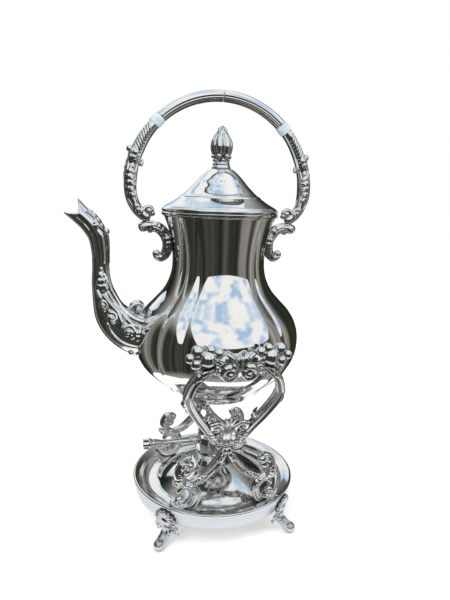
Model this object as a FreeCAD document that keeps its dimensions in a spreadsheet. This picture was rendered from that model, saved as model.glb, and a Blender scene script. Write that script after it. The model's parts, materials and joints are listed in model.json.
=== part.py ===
# Tilting silver pot on a footed warming stand with a spirit burner.
# Millimetres, +Z up. The spout points to -X and the front frame stands at -Y.
# The origin is under the middle of the whole object, so the pot's own axis stands at x = axis_x.
import FreeCAD, Part

import math
import os

import Sketcher

Vector = FreeCAD.Vector
Rotation = FreeCAD.Rotation
Placement = FreeCAD.Placement

doc = FreeCAD.newDocument("TiltingPot")
sheet = doc.addObject("Spreadsheet::Sheet", "Sheet")

# Driving dimensions. Heights are above the table, radii are from the pot's axis.
SIZES = {
    "axis_x": 25.9,
    # Drip tray
    "tray_rim_radius": 82.5,
    "tray_rim_height": 40.0,
    "tray_base_radius": 79.5,
    "tray_base_height": 24.0,
    "tray_band": 10.5,
    "tray_well_height": 31.0,
    "tray_well_radius": 69.0,
    "tray_wall": 1.6,
    "platform_radius": 22.0,
    "platform_height": 52.0,
    # Tray feet
    "foot_angle": 45.0,
    "toe_reach": 90.5,
    "toe_size": 5.5,
    "toe_height": 4.6,
    "foot_neck": 4.6,
    "shell_size": 11.0,
    "shell_height": 26.0,
    "shell_reach": 78.0,
    "shell_depth": 6.0,
    "shell_lean": 0.12,
    "foot_arc_reach": 14.0,
    "foot_arc_rise": 15.0,
    "foot_arc_height": 20.0,
    # Lyre frames
    "lean": 21.0,
    "waist_height": 93.0,
    "waist_depth": 52.0,
    "rail_size": 4.1,
    "rail_reach": 41.5,
    "rail_shoulder": 62.0,
    "crest_reach": 16.0,
    "crest_rise": 31.0,
    "leg_depth": 54.0,
    "leg_size": 3.9,
    "scroll_middle": 41.0,
    "scroll_height": 46.0,
    "scroll_arc": 12.5,
    "scroll_size": 4.4,
    "leaf_middle": 38.0,
    "leaf_height": 68.0,
    "leaf_arc": 6.5,
    "crest_curl_reach": 7.5,
    "crest_curl_drop": 7.5,
    "crest_curl_arc": 4.4,
    "crest_curl_size": 2.6,
    "crest_lobe_size": 4.2,
    "crest_lobe_fan": 5.0,
    "crest_bead_size": 3.6,
    "crest_bead_reach": 11.0,
    "palmette_width": 15.0,
    "palmette_depth": 5.0,
    "palmette_height": 26.0,
    "palmette_drop": 3.0,
    "palmette_curl_reach": 10.0,
    "palmette_curl_height": 16.0,
    "palmette_curl_arc": 5.0,
    "palmette_curl_size": 2.8,
    "palmette_low_curl_reach": 5.5,
    "palmette_low_curl_arc": 3.0,
    "palmette_low_curl_size": 2.1,
    "palmette_fan_height": 21.0,
    "palmette_fan_length": 10.0,
    "palmette_fan_size": 2.0,
    "grape_face": 94.4,
    "screw_size": 2.0,
    "screw_head": 4.0,
    # Tilting pivot
    "pivot_reach": 32.0,
    "pivot_height": 188.0,
    "pivot_pin": 2.5,
    "pivot_play": 0.05,
    "lug_size": 6.0,
    "lug_face": 80.6,
    "boss_face": 81.2,
    "boss_size": 6.5,
    "saddle_back": 84.2,
    "boss_back": 89.0,
    "grape_back": 84.4,
    # Pot
    "pot_wall": 1.6,
    "seam_height": 236.0,
    "base_height": 130.0,
    "base_radius": 43.0,
    "bowl_height": 143.0,
    "bowl_radius": 58.0,
    "hip_height": 158.0,
    "hip_radius": 73.0,
    "belly_height": 184.0,
    "belly_radius": 80.4,
    "chest_height": 204.0,
    "chest_radius": 76.0,
    "shoulder_height": 222.0,
    "shoulder_radius": 61.6,
    "waist_of_pot_height": 243.0,
    "waist_of_pot_radius": 46.6,
    "neck_height": 264.0,
    "neck_radius": 44.6,
    "collar_height": 287.0,
    "collar_radius": 48.0,
    "lip_height": 302.0,
    "lip_radius": 53.2,
    "rim_radius": 55.2,
    "rim_bore": 50.2,
    "rim_top": 305.4,
    "strainer_hole": 2.0,
    "strainer_pitch": 6.5,
    # Lid
    "lid_base": 305.8,
    "lid_radius": 54.5,
    "lid_wall": 1.4,
    "lid_top": 345.5,
    "bezel_radius": 48.3,
    "bezel_base": 299.0,
    "finial_radius": 10.3,
    "finial_top": 385.0,
    "finial_stud": 2.0,
    "hinge_depth": 58.8,
    "hinge_height": 306.4,
    "hinge_pin": 1.2,
    "hinge_play": 0.05,
    "knuckle": 2.6,
    "knuckle_half": 4.0,
    "hinge_half": 12.0,
    # Handle
    "hoop_radius": 84.0,
    "hoop_height": 326.5,
    "grip_size": 5.3,
    "band_angle": 44.5,
    "band_width": 6.0,
    "band_size": 6.6,
    "band_pin": 2.0,
    "band_pin_width": 12.0,
    "arm_size": 6.2,
    "arm_curl": 26.0,
    "arm_drop": 30.0,
    "volute_reach": 67.0,
    "volute_height": 306.0,
    "volute_size": 5.4,
    "bracket_size": 5.0,
    # Burner
    "burner_base": 52.3,
    "burner_radius": 19.0,
    "burner_top": 82.0,
    "burner_mouth": 17.0,
    "wick_tube": 5.5,
    "wick_size": 4.2,
    "wick_tube_top": 86.4,
    "wick_top": 88.0,
    "burner_handle_height": 73.5,
    "burner_handle_reach": 73.0,
    "snuffer_radius": 8.2,
    "snuffer_bore": 6.8,
    "snuffer_base": 82.5,
    "snuffer_top": 92.0,
    "snuffer_hinge": 13.0,
    "snuffer_hinge_height": 86.4,
}

# Pot sections from the base up: name of the level and the depth of the creases there.
POT_LEVELS = (
    ("base", 0.3),
    ("bowl", 1.2),
    ("hip", 1.8),
    ("belly", 2.0),
    ("chest", 2.0),
    ("shoulder", 1.8),
    ("waist_of_pot", 1.2),
    ("neck", 0.9),
    ("collar", 0.5),
    ("lip", 0.2),
)
CREASE_ANGLES = (-35, 35, 55)
FRONT_AND_BACK = (("front", 0), ("back", 180))
LEFT_AND_RIGHT = (("left", -1), ("right", 1))

parts = []


def fill_sheet():
    for row, (name, value) in enumerate(SIZES.items(), start=1):
        sheet.set("A%d" % row, name)
        sheet.set("B%d" % row, str(value))
        sheet.setAlias("B%d" % row, name)
    doc.recompute()


def size(name):
    return float(sheet.get(name))


def cells(text):
    # Writes a formula of aliases the way the expression engine reads it.
    words = text.split()
    return " ".join("Sheet." + word if word in SIZES else word for word in words)


def value(text):
    return float(sheet.evalExpression(cells(text)))


def bind(item, prop, text):
    item.setExpression(prop, cells(text))


def keep(item, label, along="0"):
    # Names a finished sub-part and stands it on the pot's axis, or that far along X from it.
    item.Label = label
    bind(item, "Placement.Base.x", "axis_x + " + along)
    parts.append(item)
    return item


def solid(label, shape):
    # A casting whose surface is lofted or built up from several forms.
    item = doc.addObject("Part::Feature", "Casting")
    item.Shape = shape
    item.Placement = shape.Placement
    return keep(item, label)


def new_sketch(body, role, name):
    sketch = body.newObject("Sketcher::SketchObject", name)
    plane = [feature for feature in body.Origin.OriginFeatures if feature.Role == role][0]
    sketch.AttachmentSupport = [(plane, "")]
    sketch.MapMode = "FlatFace"
    return sketch


def fix_point(sketch, geometry, position, across, up):
    for kind, text in (("DistanceX", across), ("DistanceY", up)):
        index = sketch.addConstraint(Sketcher.Constraint(kind, geometry, position, value(text)))
        bind(sketch, "Constraints[%d]" % index, text)


def outline(sketch, corners):
    # A closed outline. A corner is (across, up); two more formulas give a point that the arc
    # arriving at that corner passes through.
    points = [Vector(value(corner[0]), value(corner[1]), 0) for corner in corners]
    edges = []
    for index, start in enumerate(points):
        end = points[(index + 1) % len(points)]
        arrival = corners[(index + 1) % len(points)]
        if len(arrival) == 4:
            middle = Vector(value(arrival[2]), value(arrival[3]), 0)
            edge = sketch.addGeometry(Part.Arc(start, middle, end))
            mark = sketch.addGeometry(Part.Point(middle), True)
            fix_point(sketch, mark, 1, arrival[2], arrival[3])
            sketch.addConstraint(Sketcher.Constraint("PointOnObject", mark, 1, edge))
        else:
            edge = sketch.addGeometry(Part.LineSegment(start, end))
        forward = (sketch.getPoint(edge, 1) - start).Length < (sketch.getPoint(edge, 2) - start).Length
        edges.append((edge, 1 if forward else 2))
    for index, corner in enumerate(corners):
        edge, first = edges[index]
        after, after_first = edges[(index + 1) % len(edges)]
        fix_point(sketch, edge, first, corner[0], corner[1])
        sketch.addConstraint(Sketcher.Constraint("Coincident", edge, 3 - first, after, after_first))


def turned(label, corners):
    # A piece turned on the pot's axis, from its half outline.
    body = doc.addObject("PartDesign::Body", "Turned")
    sketch = new_sketch(body, "XZ_Plane", "Profile")
    outline(sketch, corners)
    turn = body.newObject("PartDesign::Revolution", "Turn")
    turn.Profile = sketch
    turn.ReferenceAxis = (sketch, ["V_Axis"])
    turn.Angle = 360
    doc.recompute()
    return keep(body, label) if label else body


def rod(radius, length, base, direction):
    item = doc.addObject("Part::Cylinder", "Rod")
    bind(item, "Radius", radius)
    bind(item, "Height", length)
    item.Placement = Placement(Vector(0, 0, 0), Rotation(Vector(0, 0, 1), direction))
    for axis, text in zip("xyz", base):
        bind(item, "Placement.Base." + axis, text)
    return item


def block(lengths, base):
    item = doc.addObject("Part::Box", "Block")
    for prop, text in zip(("Length", "Width", "Height"), lengths):
        bind(item, prop, text)
    for axis, text in zip("xyz", base):
        bind(item, "Placement.Base." + axis, text)
    return item


def joined(items):
    item = doc.addObject("Part::MultiFuse", "Joined")
    item.Shapes = items
    return item


def less(base, tool):
    item = doc.addObject("Part::Cut", "Less")
    item.Base = base
    item.Tool = tool
    return item


def form(shape):
    # A plain holder that lets a lofted form take part in a boolean.
    item = doc.addObject("Part::Feature", "Form")
    item.Shape = shape
    return item


def hoop(minor, start, sweep):
    # A stretch of the handle's hoop, angles counted from +X up over the pot.
    item = doc.addObject("Part::Torus", "Hoop")
    bind(item, "Radius1", "hoop_radius")
    bind(item, "Radius2", minor)
    bind(item, "Angle3", sweep)
    upright = Rotation(Vector(1, 0, 0), 90)
    item.Placement = Placement(Vector(0, 0, 0), Rotation(Vector(0, 1, 0), -value(start)) * upright)
    bind(item, "Placement.Base.z", "hoop_height")
    return item


def arc_points(middle_x, middle_z, radius_x, radius_z, start, end, count):
    points = []
    for step in range(count):
        angle = math.radians(start + (end - start) * step / (count - 1))
        points.append((middle_x + radius_x * math.cos(angle), middle_z + radius_z * math.sin(angle)))
    return points


def tube(points, radii, width=1.0, plane_y=0.0):
    # A tapering tube along points of a plane that faces Y. Radii are spread evenly along it,
    # and width is its breadth along Y as a share of its thickness in the plane.
    path = [Vector(x, plane_y, z) for x, z in points]
    sections = []
    across = Vector(0, 1, 0)
    roundness = min(width, 0.995)
    for index, place in enumerate(path):
        ahead = path[min(index + 1, len(path) - 1)] - path[max(index - 1, 0)]
        side = across.cross(ahead)
        side.normalize()
        position = index * (len(radii) - 1) / (len(path) - 1)
        low = min(int(position), len(radii) - 2)
        radius = radii[low] + (radii[low + 1] - radii[low]) * (position - low)
        oval = Part.Ellipse(place + side * radius, place + across * radius * roundness, place)
        sections.append(Part.Wire([oval.toShape()]))
    return Part.makeLoft(sections, True, False)


def ball(radius, x, y, z):
    return Part.makeSphere(radius, Vector(x, y, z))


def fused(shapes):
    return shapes[0].multiFuse(shapes[1:]).removeSplitter()


def largest(shape):
    return max(shape.Solids, key=lambda one: one.Volume)


def panelled_section(height, radius, crease):
    # One level of the pot: four wide panels and four narrow flutes that meet in creases.
    def point(angle, reach):
        turn = math.radians(angle)
        return Vector(reach * math.cos(turn), reach * math.sin(turn), height)

    arcs = []
    for quarter in range(4):
        for start, end in zip(CREASE_ANGLES, CREASE_ANGLES[1:]):
            flute = end - start < 30
            bulge = radius - (0.4 * crease if flute else 0.0)
            base = 90 * quarter
            first = point(base + start, radius - crease)
            middle = point(base + (start + end) / 2, bulge)
            last = point(base + end, radius - crease)
            arcs.append(Part.Arc(first, middle, last).toShape())
    return Part.Wire(arcs)


def pot_outside():
    sections = []
    for level, crease in POT_LEVELS:
        sections.append(panelled_section(size(level + "_height"), size(level + "_radius"), crease))
    return Part.makeLoft(sections, True, False)


def pot_inside():
    sections = []
    for level, crease in POT_LEVELS:
        radius = size(level + "_radius") - crease - size("pot_wall")
        centre = Vector(0, 0, size(level + "_height"))
        sections.append(Part.Wire([Part.Circle(centre, Vector(0, 0, 1), radius).toShape()]))
    return Part.makeLoft(sections, True, False)


# Spout: place of its middle line, thickness and breadth, from the pot to the mouth.
SPOUT_LINE = ((-60, 190), (-76, 193), (-92, 199), (-103, 210), (-108.5, 228), (-111, 248),
              (-111.5, 266), (-113, 280), (-118, 291), (-126, 300), (-136, 308.3))
SPOUT_SIZE = (25.0, 24.0, 20.0, 16.0, 12.0, 8.3, 7.6, 7.6, 8.2, 8.4, 9.4)
SPOUT_BREADTH = 0.8
SPOUT_WALL = 1.5


def make_pot():
    outside = form(pot_outside())
    inside = form(pot_inside())
    shell = less(outside, inside)
    holes = []
    for row in (-1, 0, 1):
        for column in (-1, 0, 1):
            base = ("0 - belly_radius - 5", "%d * strainer_pitch" % column,
                    "belly_height + 8 + %d * strainer_pitch" % row)
            holes.append(rod("strainer_hole", "20", base, Vector(1, 0, 0)))
    # The neck is a piece of its own, soldered to the belly at the seam.
    across = ("4 * belly_radius", "4 * belly_radius")
    corner = ("0 - 2 * belly_radius", "0 - 2 * belly_radius")
    above_seam = block(across + ("rim_top - seam_height",), corner + ("seam_height",))
    below_seam = block(across + ("seam_height",), corner + ("0",))
    keep(less(less(shell, joined(holes)), above_seam), "pot_body")
    keep(less(shell, below_seam), "pot_neck")
    turned("pot_bottom", [
        ("0", "base_height - 2"),
        ("base_radius - 2", "base_height - 2"),
        ("base_radius - 0.5", "base_height"),
        ("0", "base_height"),
    ])
    turned("pot_rim", [
        ("rim_bore", "lip_height"),
        ("lip_radius", "lip_height"),
        ("rim_radius", "lip_height + 1.6", "lip_radius + 1.4", "lip_height + 0.5"),
        ("rim_radius", "rim_top - 0.6"),
        ("rim_radius - 0.6", "rim_top"),
        ("rim_bore", "rim_top"),
    ])
    spout = tube(SPOUT_LINE, SPOUT_SIZE, SPOUT_BREADTH)
    past_ends = [(-50, 188)] + list(SPOUT_LINE[1:-1]) + [(-141, 313.5)]
    bore = tube(past_ends, [thickness - SPOUT_WALL for thickness in SPOUT_SIZE], SPOUT_BREADTH)
    keep(less(less(form(spout), form(bore)), outside), "spout")
    return outside


def make_lid():
    lid = turned("lid", [
        ("lid_radius - 3", "lid_base"),
        ("lid_radius", "lid_base"),
        ("lid_radius - 0.4", "lid_base + 3.2", "lid_radius + 0.9", "lid_base + 1.5"),
        ("lid_radius - 4.5", "lid_base + 6.2", "lid_radius - 2.2", "lid_base + 4.4"),
        ("38.5", "319.4", "43.6", "316.2"),
        ("37.2", "320.4"),
        ("28.0", "328.6", "32.4", "324.0"),
        ("11.0", "lid_top", "21.0", "337.6"),
        ("finial_stud", "lid_top + 0.4"),
        ("finial_stud", "lid_top - lid_wall - 0.6"),
        ("10.0", "lid_top - lid_wall - 1", "6.0", "lid_top - lid_wall - 0.7"),
        ("26.8", "327.0", "19.7", "336.4"),
        ("36.4", "318.7", "31.3", "322.4"),
        ("lid_radius - 6", "lid_base + 5", "42.0", "314.7"),
    ])
    turned("lid_bezel", [
        ("bezel_radius - 1.4", "bezel_base"),
        ("bezel_radius", "bezel_base"),
        ("bezel_radius", "lid_base"),
        ("lid_radius - 3", "lid_base"),
        ("lid_radius - 6", "lid_base + 5"),
        ("bezel_radius - 1.4", "lid_base + 5"),
    ])
    turned("finial", [
        ("0", "lid_top + 0.4"),
        ("8.6", "lid_top + 0.4"),
        ("8.2", "lid_top + 3.2", "9.4", "lid_top + 1.8"),
        ("5.6", "lid_top + 9", "6.2", "lid_top + 5.4"),
        ("7.4", "lid_top + 11.4"),
        ("finial_radius - 0.6", "lid_top + 15.4"),
        ("finial_radius + 0.6", "lid_top + 19.6"),
        ("finial_radius", "lid_top + 24.4"),
        ("8.4", "lid_top + 29"),
        ("5.4", "lid_top + 34"),
        ("0", "finial_top"),
    ])
    stud = rod("finial_stud", "6", ("0", "0", "lid_top - 5.6"), Vector(0, 0, 1))
    nut = rod("4", "2.2", ("0", "0", "lid_top - lid_wall - 2.9"), Vector(0, 0, 1))
    keep(joined([stud, nut]), "finial_stud")
    return lid


def make_lid_hinge(lid):
    back = Vector(1, 0, 0)
    far = ("0 - hinge_half", "hinge_depth", "hinge_height")
    pin_start = "0 - hinge_half - 0.8"
    barrel = rod("knuckle", "2 * hinge_half", far, back)
    gap_base = ("0 - knuckle_half - 0.3", "hinge_depth", "hinge_height")
    gap = rod("knuckle + 0.5", "2 * knuckle_half + 0.6", gap_base, back)
    plate = block(("2 * hinge_half", "hinge_depth - rim_radius + 4", "2.6"),
                  ("0 - hinge_half", "rim_radius - 4", "hinge_height - 3.6"))
    bore = rod("hinge_pin", "2 * hinge_half + 4", ("0 - hinge_half - 2", far[1], far[2]), back)
    keep(less(less(less(joined([barrel, plate]), gap), bore), rim_blank()), "body_hinge_leaf")
    middle = ("0 - knuckle_half", "hinge_depth", "hinge_height")
    lid_barrel = rod("knuckle", "2 * knuckle_half", middle, back)
    tab = block(("2 * knuckle_half", "hinge_depth - lid_radius + 3", "1.6"),
                ("0 - knuckle_half", "lid_radius - 3", "hinge_height + 1"))
    lid_bore_base = ("0 - knuckle_half - 2", "hinge_depth", "hinge_height")
    lid_bore = rod("hinge_pin + hinge_play", "2 * knuckle_half + 4", lid_bore_base, back)
    lid_form = form(on_axis(lid.Shape))
    keep(less(less(joined([lid_barrel, tab]), lid_bore), lid_form), "lid_hinge_leaf")
    pin = rod("hinge_pin", "2 * hinge_half + 1.6", (pin_start, far[1], far[2]), back)
    keep(pin, "lid_hinge_pin", pin_start)


def rim_blank():
    return rod("rim_radius", "rim_top - lip_height + 20", ("0", "0", "lip_height - 20"), Vector(0, 0, 1))


def make_handle(outside):
    pins = {}
    bands = {}
    half = "band_width / 2"
    pin_half = "band_pin_width / 2"
    for name, side in LEFT_AND_RIGHT:
        middle = "band_angle" if side > 0 else "180 - band_angle"
        pins[name] = hoop("band_pin", middle + " - " + pin_half, "band_pin_width")
        grip_start = "band_angle + " + half if side > 0 else "90"
        grip = hoop("grip_size", grip_start, "90 - band_angle - " + half)
        keep(less(grip, pins[name]), name + "_grip")
        bands[name] = hoop("band_size", middle + " - " + half, "band_width")
        keep(less(bands[name], pins[name]), name + "_insulator")
    keep(joined(list(pins.values())), "insulator_pins")
    for name, side in LEFT_AND_RIGHT:
        arm_shape = handle_arm(side)
        keep(less(less(form(arm_shape), pins[name]), bands[name]), name + "_arm")
        bracket = less(form(handle_bracket(side)), form(arm_shape))
        keep(less(bracket, outside), name + "_bracket")


def handle_arm(side):
    radius = size("hoop_radius")
    height = size("hoop_height")
    curl = size("arm_curl")
    start = size("band_angle") - size("band_width") / 2
    points = arc_points(0, height, radius, radius, start, 0, 6)
    points += arc_points(radius - curl, height, curl, size("arm_drop"), -18, -64, 5)
    arm = size("arm_size")
    grip = size("grip_size")
    bar = tube([(side * x, z) for x, z in points], (grip, arm, arm, 0.94 * arm))
    volute = ball(size("volute_size"), side * size("volute_reach"), 0, size("volute_height"))
    return fused([bar, volute])


# The right bracket's middle line, from the knob under the arm round to the curl on the neck.
BRACKET_LINE = ((72, 291.4), (63.2, 291.8), (55, 288), (49.6, 279.2), (49.8, 269.2), (55, 262.4), (60, 264.6))


def handle_bracket(side):
    thick = size("bracket_size")
    bar = tube([(side * x, z) for x, z in BRACKET_LINE], (0.9 * thick, thick, thick, 0.8 * thick))
    knob_x, knob_z = BRACKET_LINE[0]
    curl_x, curl_z = BRACKET_LINE[-1]
    knob = ball(1.04 * thick, side * knob_x, 0, knob_z)
    curl = ball(0.92 * thick, side * curl_x, 0, curl_z)
    return fused([bar, knob, curl])


def make_lugs(outside):
    for where, sign in (("front", -1), ("back", 1)):
        away = Vector(0, sign, 0)
        for label, reach, end in (("pivot_lug_", "0 - pivot_reach", "boss_back - 1.6"),
                                  ("rest_lug_", "pivot_reach", "saddle_back - 0.4")):
            base = (reach, "%d * ( lug_face - 16 )" % sign, "pivot_height")
            lug = rod("lug_size", "16", base, away)
            pin_base = (reach, "%d * lug_face" % sign, "pivot_height")
            pin = rod("pivot_pin", end + " - lug_face", pin_base, away)
            keep(less(joined([lug, pin]), outside), label + where)


def make_pivots():
    for where, sign in (("front", -1), ("back", 1)):
        away = Vector(0, sign, 0)
        base = ("0 - pivot_reach", "%d * boss_face" % sign, "pivot_height")
        bore_base = ("0 - pivot_reach", "%d * ( boss_face - 2 )" % sign, "pivot_height")
        boss = rod("boss_size", "boss_back - boss_face", base, away)
        bore = rod("pivot_pin + pivot_play", "boss_back - boss_face + 0.8", bore_base, away)
        keep(less(boss, bore), where + "_pivot_boss")
        seat_base = ("pivot_reach", base[1], "pivot_height")
        seat = rod("boss_size", "saddle_back - boss_face", seat_base, away)
        slot_base = ("pivot_reach", bore_base[1], "pivot_height")
        slot = rod("pivot_pin + 0.4", "10", slot_base, away)
        low = "boss_face - 2" if sign > 0 else "0 - boss_face - 8"
        mouth = block(("2 * pivot_pin + 1.8", "10", "12"),
                      ("pivot_reach - pivot_pin - 0.9", low, "pivot_height"))
        keep(less(less(seat, slot), mouth), where + "_saddle")


def leaning(shape, turn):
    # Stands a form drawn in the frame's own plane on the leaning plane of the front or back frame.
    waist = Vector(0, -size("waist_depth"), size("waist_height"))
    stand = Placement(waist, Rotation(Vector(1, 0, 0), size("lean")))
    around = Placement(Vector(0, 0, 0), Rotation(Vector(0, 0, 1), turn))
    return moved(shape, around * stand)


def moved(shape, placement):
    copy = shape.copy()
    copy.Placement = placement
    return copy


# The right rail's middle line in the leaning plane, from the palmette up to the shoulder.
RAIL_LINE = ((11.5, 4.5), (14.5, 10), (18.2, 17.5), (23.4, 26.5), (29, 35.2), (34, 44.2), (38.6, 53.6))


def rail_form(side):
    reach = size("rail_reach")
    shoulder = size("rail_shoulder")
    crest = size("crest_reach")
    points = list(RAIL_LINE)
    points += arc_points(crest, shoulder, reach - crest, size("crest_rise"), 4, 84, 6)
    thick = size("rail_size")
    return tube([(side * x, z) for x, z in points], (0.9 * thick, thick, thick, thick, 0.9 * thick))


# The right leg's middle line, from the crossing under the palmette down to the foot scroll.
LEG_LINE = ((1.5, 89), (7, 79.8), (13.3, 71.6), (21.5, 64), (28.5, 60), (33, 58.8))


def leg_blank(side):
    thick = size("leg_size")
    path = [(side * x, z) for x, z in LEG_LINE]
    return tube(path, (thick, 1.05 * thick, thick), plane_y=-size("leg_depth"))


def leg_form(side):
    # The two legs of a frame meet in its middle plane.
    other_half = Part.makeBox(150, 300, 300, Vector(-150 if side > 0 else 0, -150, 0))
    return leg_blank(side).cut(other_half)


def foot_scroll_form(side):
    middle = size("scroll_middle")
    height = size("scroll_height")
    arc = size("scroll_arc")
    thick = size("scroll_size")
    leaf = size("leaf_arc")
    depth = -size("leg_depth")
    lower = arc_points(middle, height, arc, arc, 65, 290, 10)
    upper = arc_points(size("leaf_middle"), size("leaf_height"), leaf, 1.45 * leaf, -70, 105, 8)
    pieces = []
    for points in (lower, upper):
        path = [(side * x, z) for x, z in points]
        pieces.append(tube(path, (0.75 * thick, thick, 0.8 * thick), plane_y=depth))
    end_x, end_z = upper[-1]
    pieces.append(ball(1.1 * thick, side * end_x, depth, end_z))
    below = Part.makeBox(300, 300, 60, Vector(-150, -150, size("tray_well_height") - 60))
    return fused(pieces).cut(below)


def crest_form():
    # Arch between the rails, two volutes under it and a fan of lobes over it.
    crest = size("crest_reach")
    top = size("rail_shoulder") + size("crest_rise")
    thick = size("rail_size")
    pieces = [tube(arc_points(0, top - 2, crest, 3, 172, 8, 7), (thick, 1.5 * thick, thick))]
    arc = size("crest_curl_arc")
    curl_size = size("crest_curl_size")
    for side in (-1, 1):
        middle = side * size("crest_curl_reach")
        curl = arc_points(middle, top - size("crest_curl_drop"), arc, arc, 90, 90 - side * 250, 8)
        pieces.append(tube(curl, (0.92 * curl_size, curl_size, 1.08 * curl_size)))
        pieces.append(ball(size("crest_bead_size"), side * size("crest_bead_reach"), 0, top + 3))
    fan = size("crest_lobe_fan")
    for lobe in (-50, 0, 50):
        turn = math.radians(lobe)
        across = 1.2 * fan * math.sin(turn)
        pieces.append(ball(size("crest_lobe_size"), across, 0, top + 1 + fan * math.cos(turn)))
    return fused(pieces)


def palmette_form():
    # Flat panel at the crossing of the rails, with side volutes and a fan on top.
    wide = size("palmette_width")
    deep = size("palmette_depth")
    corner = Vector(-wide / 2, -deep / 2, -size("palmette_drop"))
    pieces = [Part.makeBox(wide, deep, size("palmette_height"), corner)]
    arc = size("palmette_curl_arc")
    thick = size("palmette_curl_size")
    low_arc = size("palmette_low_curl_arc")
    low_thick = size("palmette_low_curl_size")
    for side in (-1, 1):
        middle = side * size("palmette_curl_reach")
        curl = arc_points(middle, size("palmette_curl_height"), arc, 1.2 * arc, 270, 270 - side * 260, 8)
        pieces.append(tube(curl, (0.93 * thick, thick, 1.07 * thick)))
        low_middle = side * size("palmette_low_curl_reach")
        low_start = 90 + side * 10
        low_curl = arc_points(low_middle, 0, low_arc, low_arc, low_start, low_start + side * 240, 7)
        pieces.append(tube(low_curl, (0.95 * low_thick, 1.05 * low_thick, 1.05 * low_thick)))
    base = size("palmette_fan_height")
    length = size("palmette_fan_length")
    rib = size("palmette_fan_size")
    for lobe in (-60, -30, 0, 30, 60):
        turn = math.radians(lobe)
        stem = []
        for share in (0, 0.5, 1):
            reach = share * length
            stem.append((reach * math.sin(turn), base + reach * math.cos(turn)))
        pieces.append(tube(stem, (0.8 * rib, rib, 1.2 * rib)))
    return fused(pieces)


# Reach, height and radius of the berries of one bunch.
BERRIES = ((27.2, 189.2, 7.8), (36, 195.4, 5.7), (36.8, 185.2, 5.2), (25, 196.4, 4.6), (18, 193.6, 4.4))


def grape_form(side):
    berries = []
    for reach, height, radius in BERRIES:
        berries.append(ball(radius, side * reach, radius - size("grape_face"), height))
    return fused(berries)


def boss_blanks(turn):
    # The room that the pivot boss and the saddle of one frame take up, with nothing bored out.
    blanks = []
    deep = size("boss_back") - size("boss_face")
    for reach in (-size("pivot_reach"), size("pivot_reach")):
        depth = deep if reach < 0 else size("saddle_back") - size("boss_face")
        sign = 1 if turn else -1
        start = Vector(reach, sign * size("boss_face"), size("pivot_height"))
        blanks.append(Part.makeCylinder(size("boss_size"), depth, start, Vector(0, sign, 0)))
    return blanks


def slab(half_depth):
    # Everything nearer to the pot than a frame's ornament may come.
    return Part.makeBox(300, 2 * half_depth, 300, Vector(-150, -half_depth, 0))


def make_frames(tray, screws):
    tray_form = on_axis(tray.Shape)
    for where, turn in FRONT_AND_BACK:
        around = Placement(Vector(0, 0, 0), Rotation(Vector(0, 0, 1), turn))
        crest_shape = leaning(crest_form(), turn).cut(slab(size("boss_face")))
        rails = {}
        legs = {}
        scrolls = {}
        for name, side in LEFT_AND_RIGHT:
            own_side = side if where == "front" else -side
            rails[name] = leaning(rail_form(own_side), turn)
            scrolls[name] = moved(foot_scroll_form(own_side), around)
            legs[name] = moved(leg_form(own_side), around).cut(scrolls[name])
        bosses = boss_blanks(turn)
        solid(where + "_crest", crest_shape.cut(list(rails.values()) + bosses))
        palmette = leaning(palmette_form(), turn)
        # Whole legs, not halves, cut the palmette, so that no two cutting faces lie in one plane.
        leg_blanks = [moved(leg_blank(side), around) for name, side in LEFT_AND_RIGHT]
        for neighbour in list(rails.values()) + leg_blanks:
            palmette = palmette.cut(neighbour)
        solid(where + "_palmette", palmette)
        grapes = []
        for name, side in LEFT_AND_RIGHT:
            own_side = side if where == "front" else -side
            solid("%s_%s_rail" % (where, name), rails[name].cut(bosses))
            solid("%s_%s_leg" % (where, name), legs[name])
            # The part of the scroll that would come out under the tray is dropped.
            scroll = largest(scrolls[name].cut([tray_form] + screws))
            solid("%s_%s_foot_scroll" % (where, name), scroll)
            grapes.append(moved(grape_form(own_side), around))
        around_grapes = list(rails.values()) + bosses + [crest_shape, slab(size("grape_back"))]
        solid(where + "_grapes", Part.makeCompound([bunch.cut(around_grapes) for bunch in grapes]))
    solid("frame_screws", Part.makeCompound(screws))


def on_axis(shape):
    # A finished sub-part's shape, brought back to the pot's axis.
    copy = shape.copy()
    copy.translate(Vector(-size("axis_x"), 0, 0))
    return copy


def screw_shapes():
    screws = []
    wall = size("tray_wall")
    floor = size("tray_well_height")
    for x_side in (-1, 1):
        for y_side in (-1, 1):
            x = x_side * (size("scroll_middle") - 3)
            y = y_side * size("leg_depth")
            shank = Part.makeCylinder(size("screw_size"), 5 + wall, Vector(x, y, floor - wall))
            head = Part.makeCylinder(size("screw_head"), 2, Vector(x, y, floor - wall - 2))
            screws.append(shank.fuse(head).removeSplitter())
    return screws


# The domed middle of the tray, from the burner's seat down to the well: radius and height.
DOME_LINE = (
    ("platform_radius + 2", "platform_height - 1.4"),
    ("platform_radius + 9", "platform_height - 4"),
    ("platform_radius + 16", "platform_height - 7.4"),
    ("platform_radius + 23", "platform_height - 11.4"),
    ("platform_radius + 30", "platform_height - 16.2"),
    ("platform_radius + 36", "tray_well_height"),
)


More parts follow.
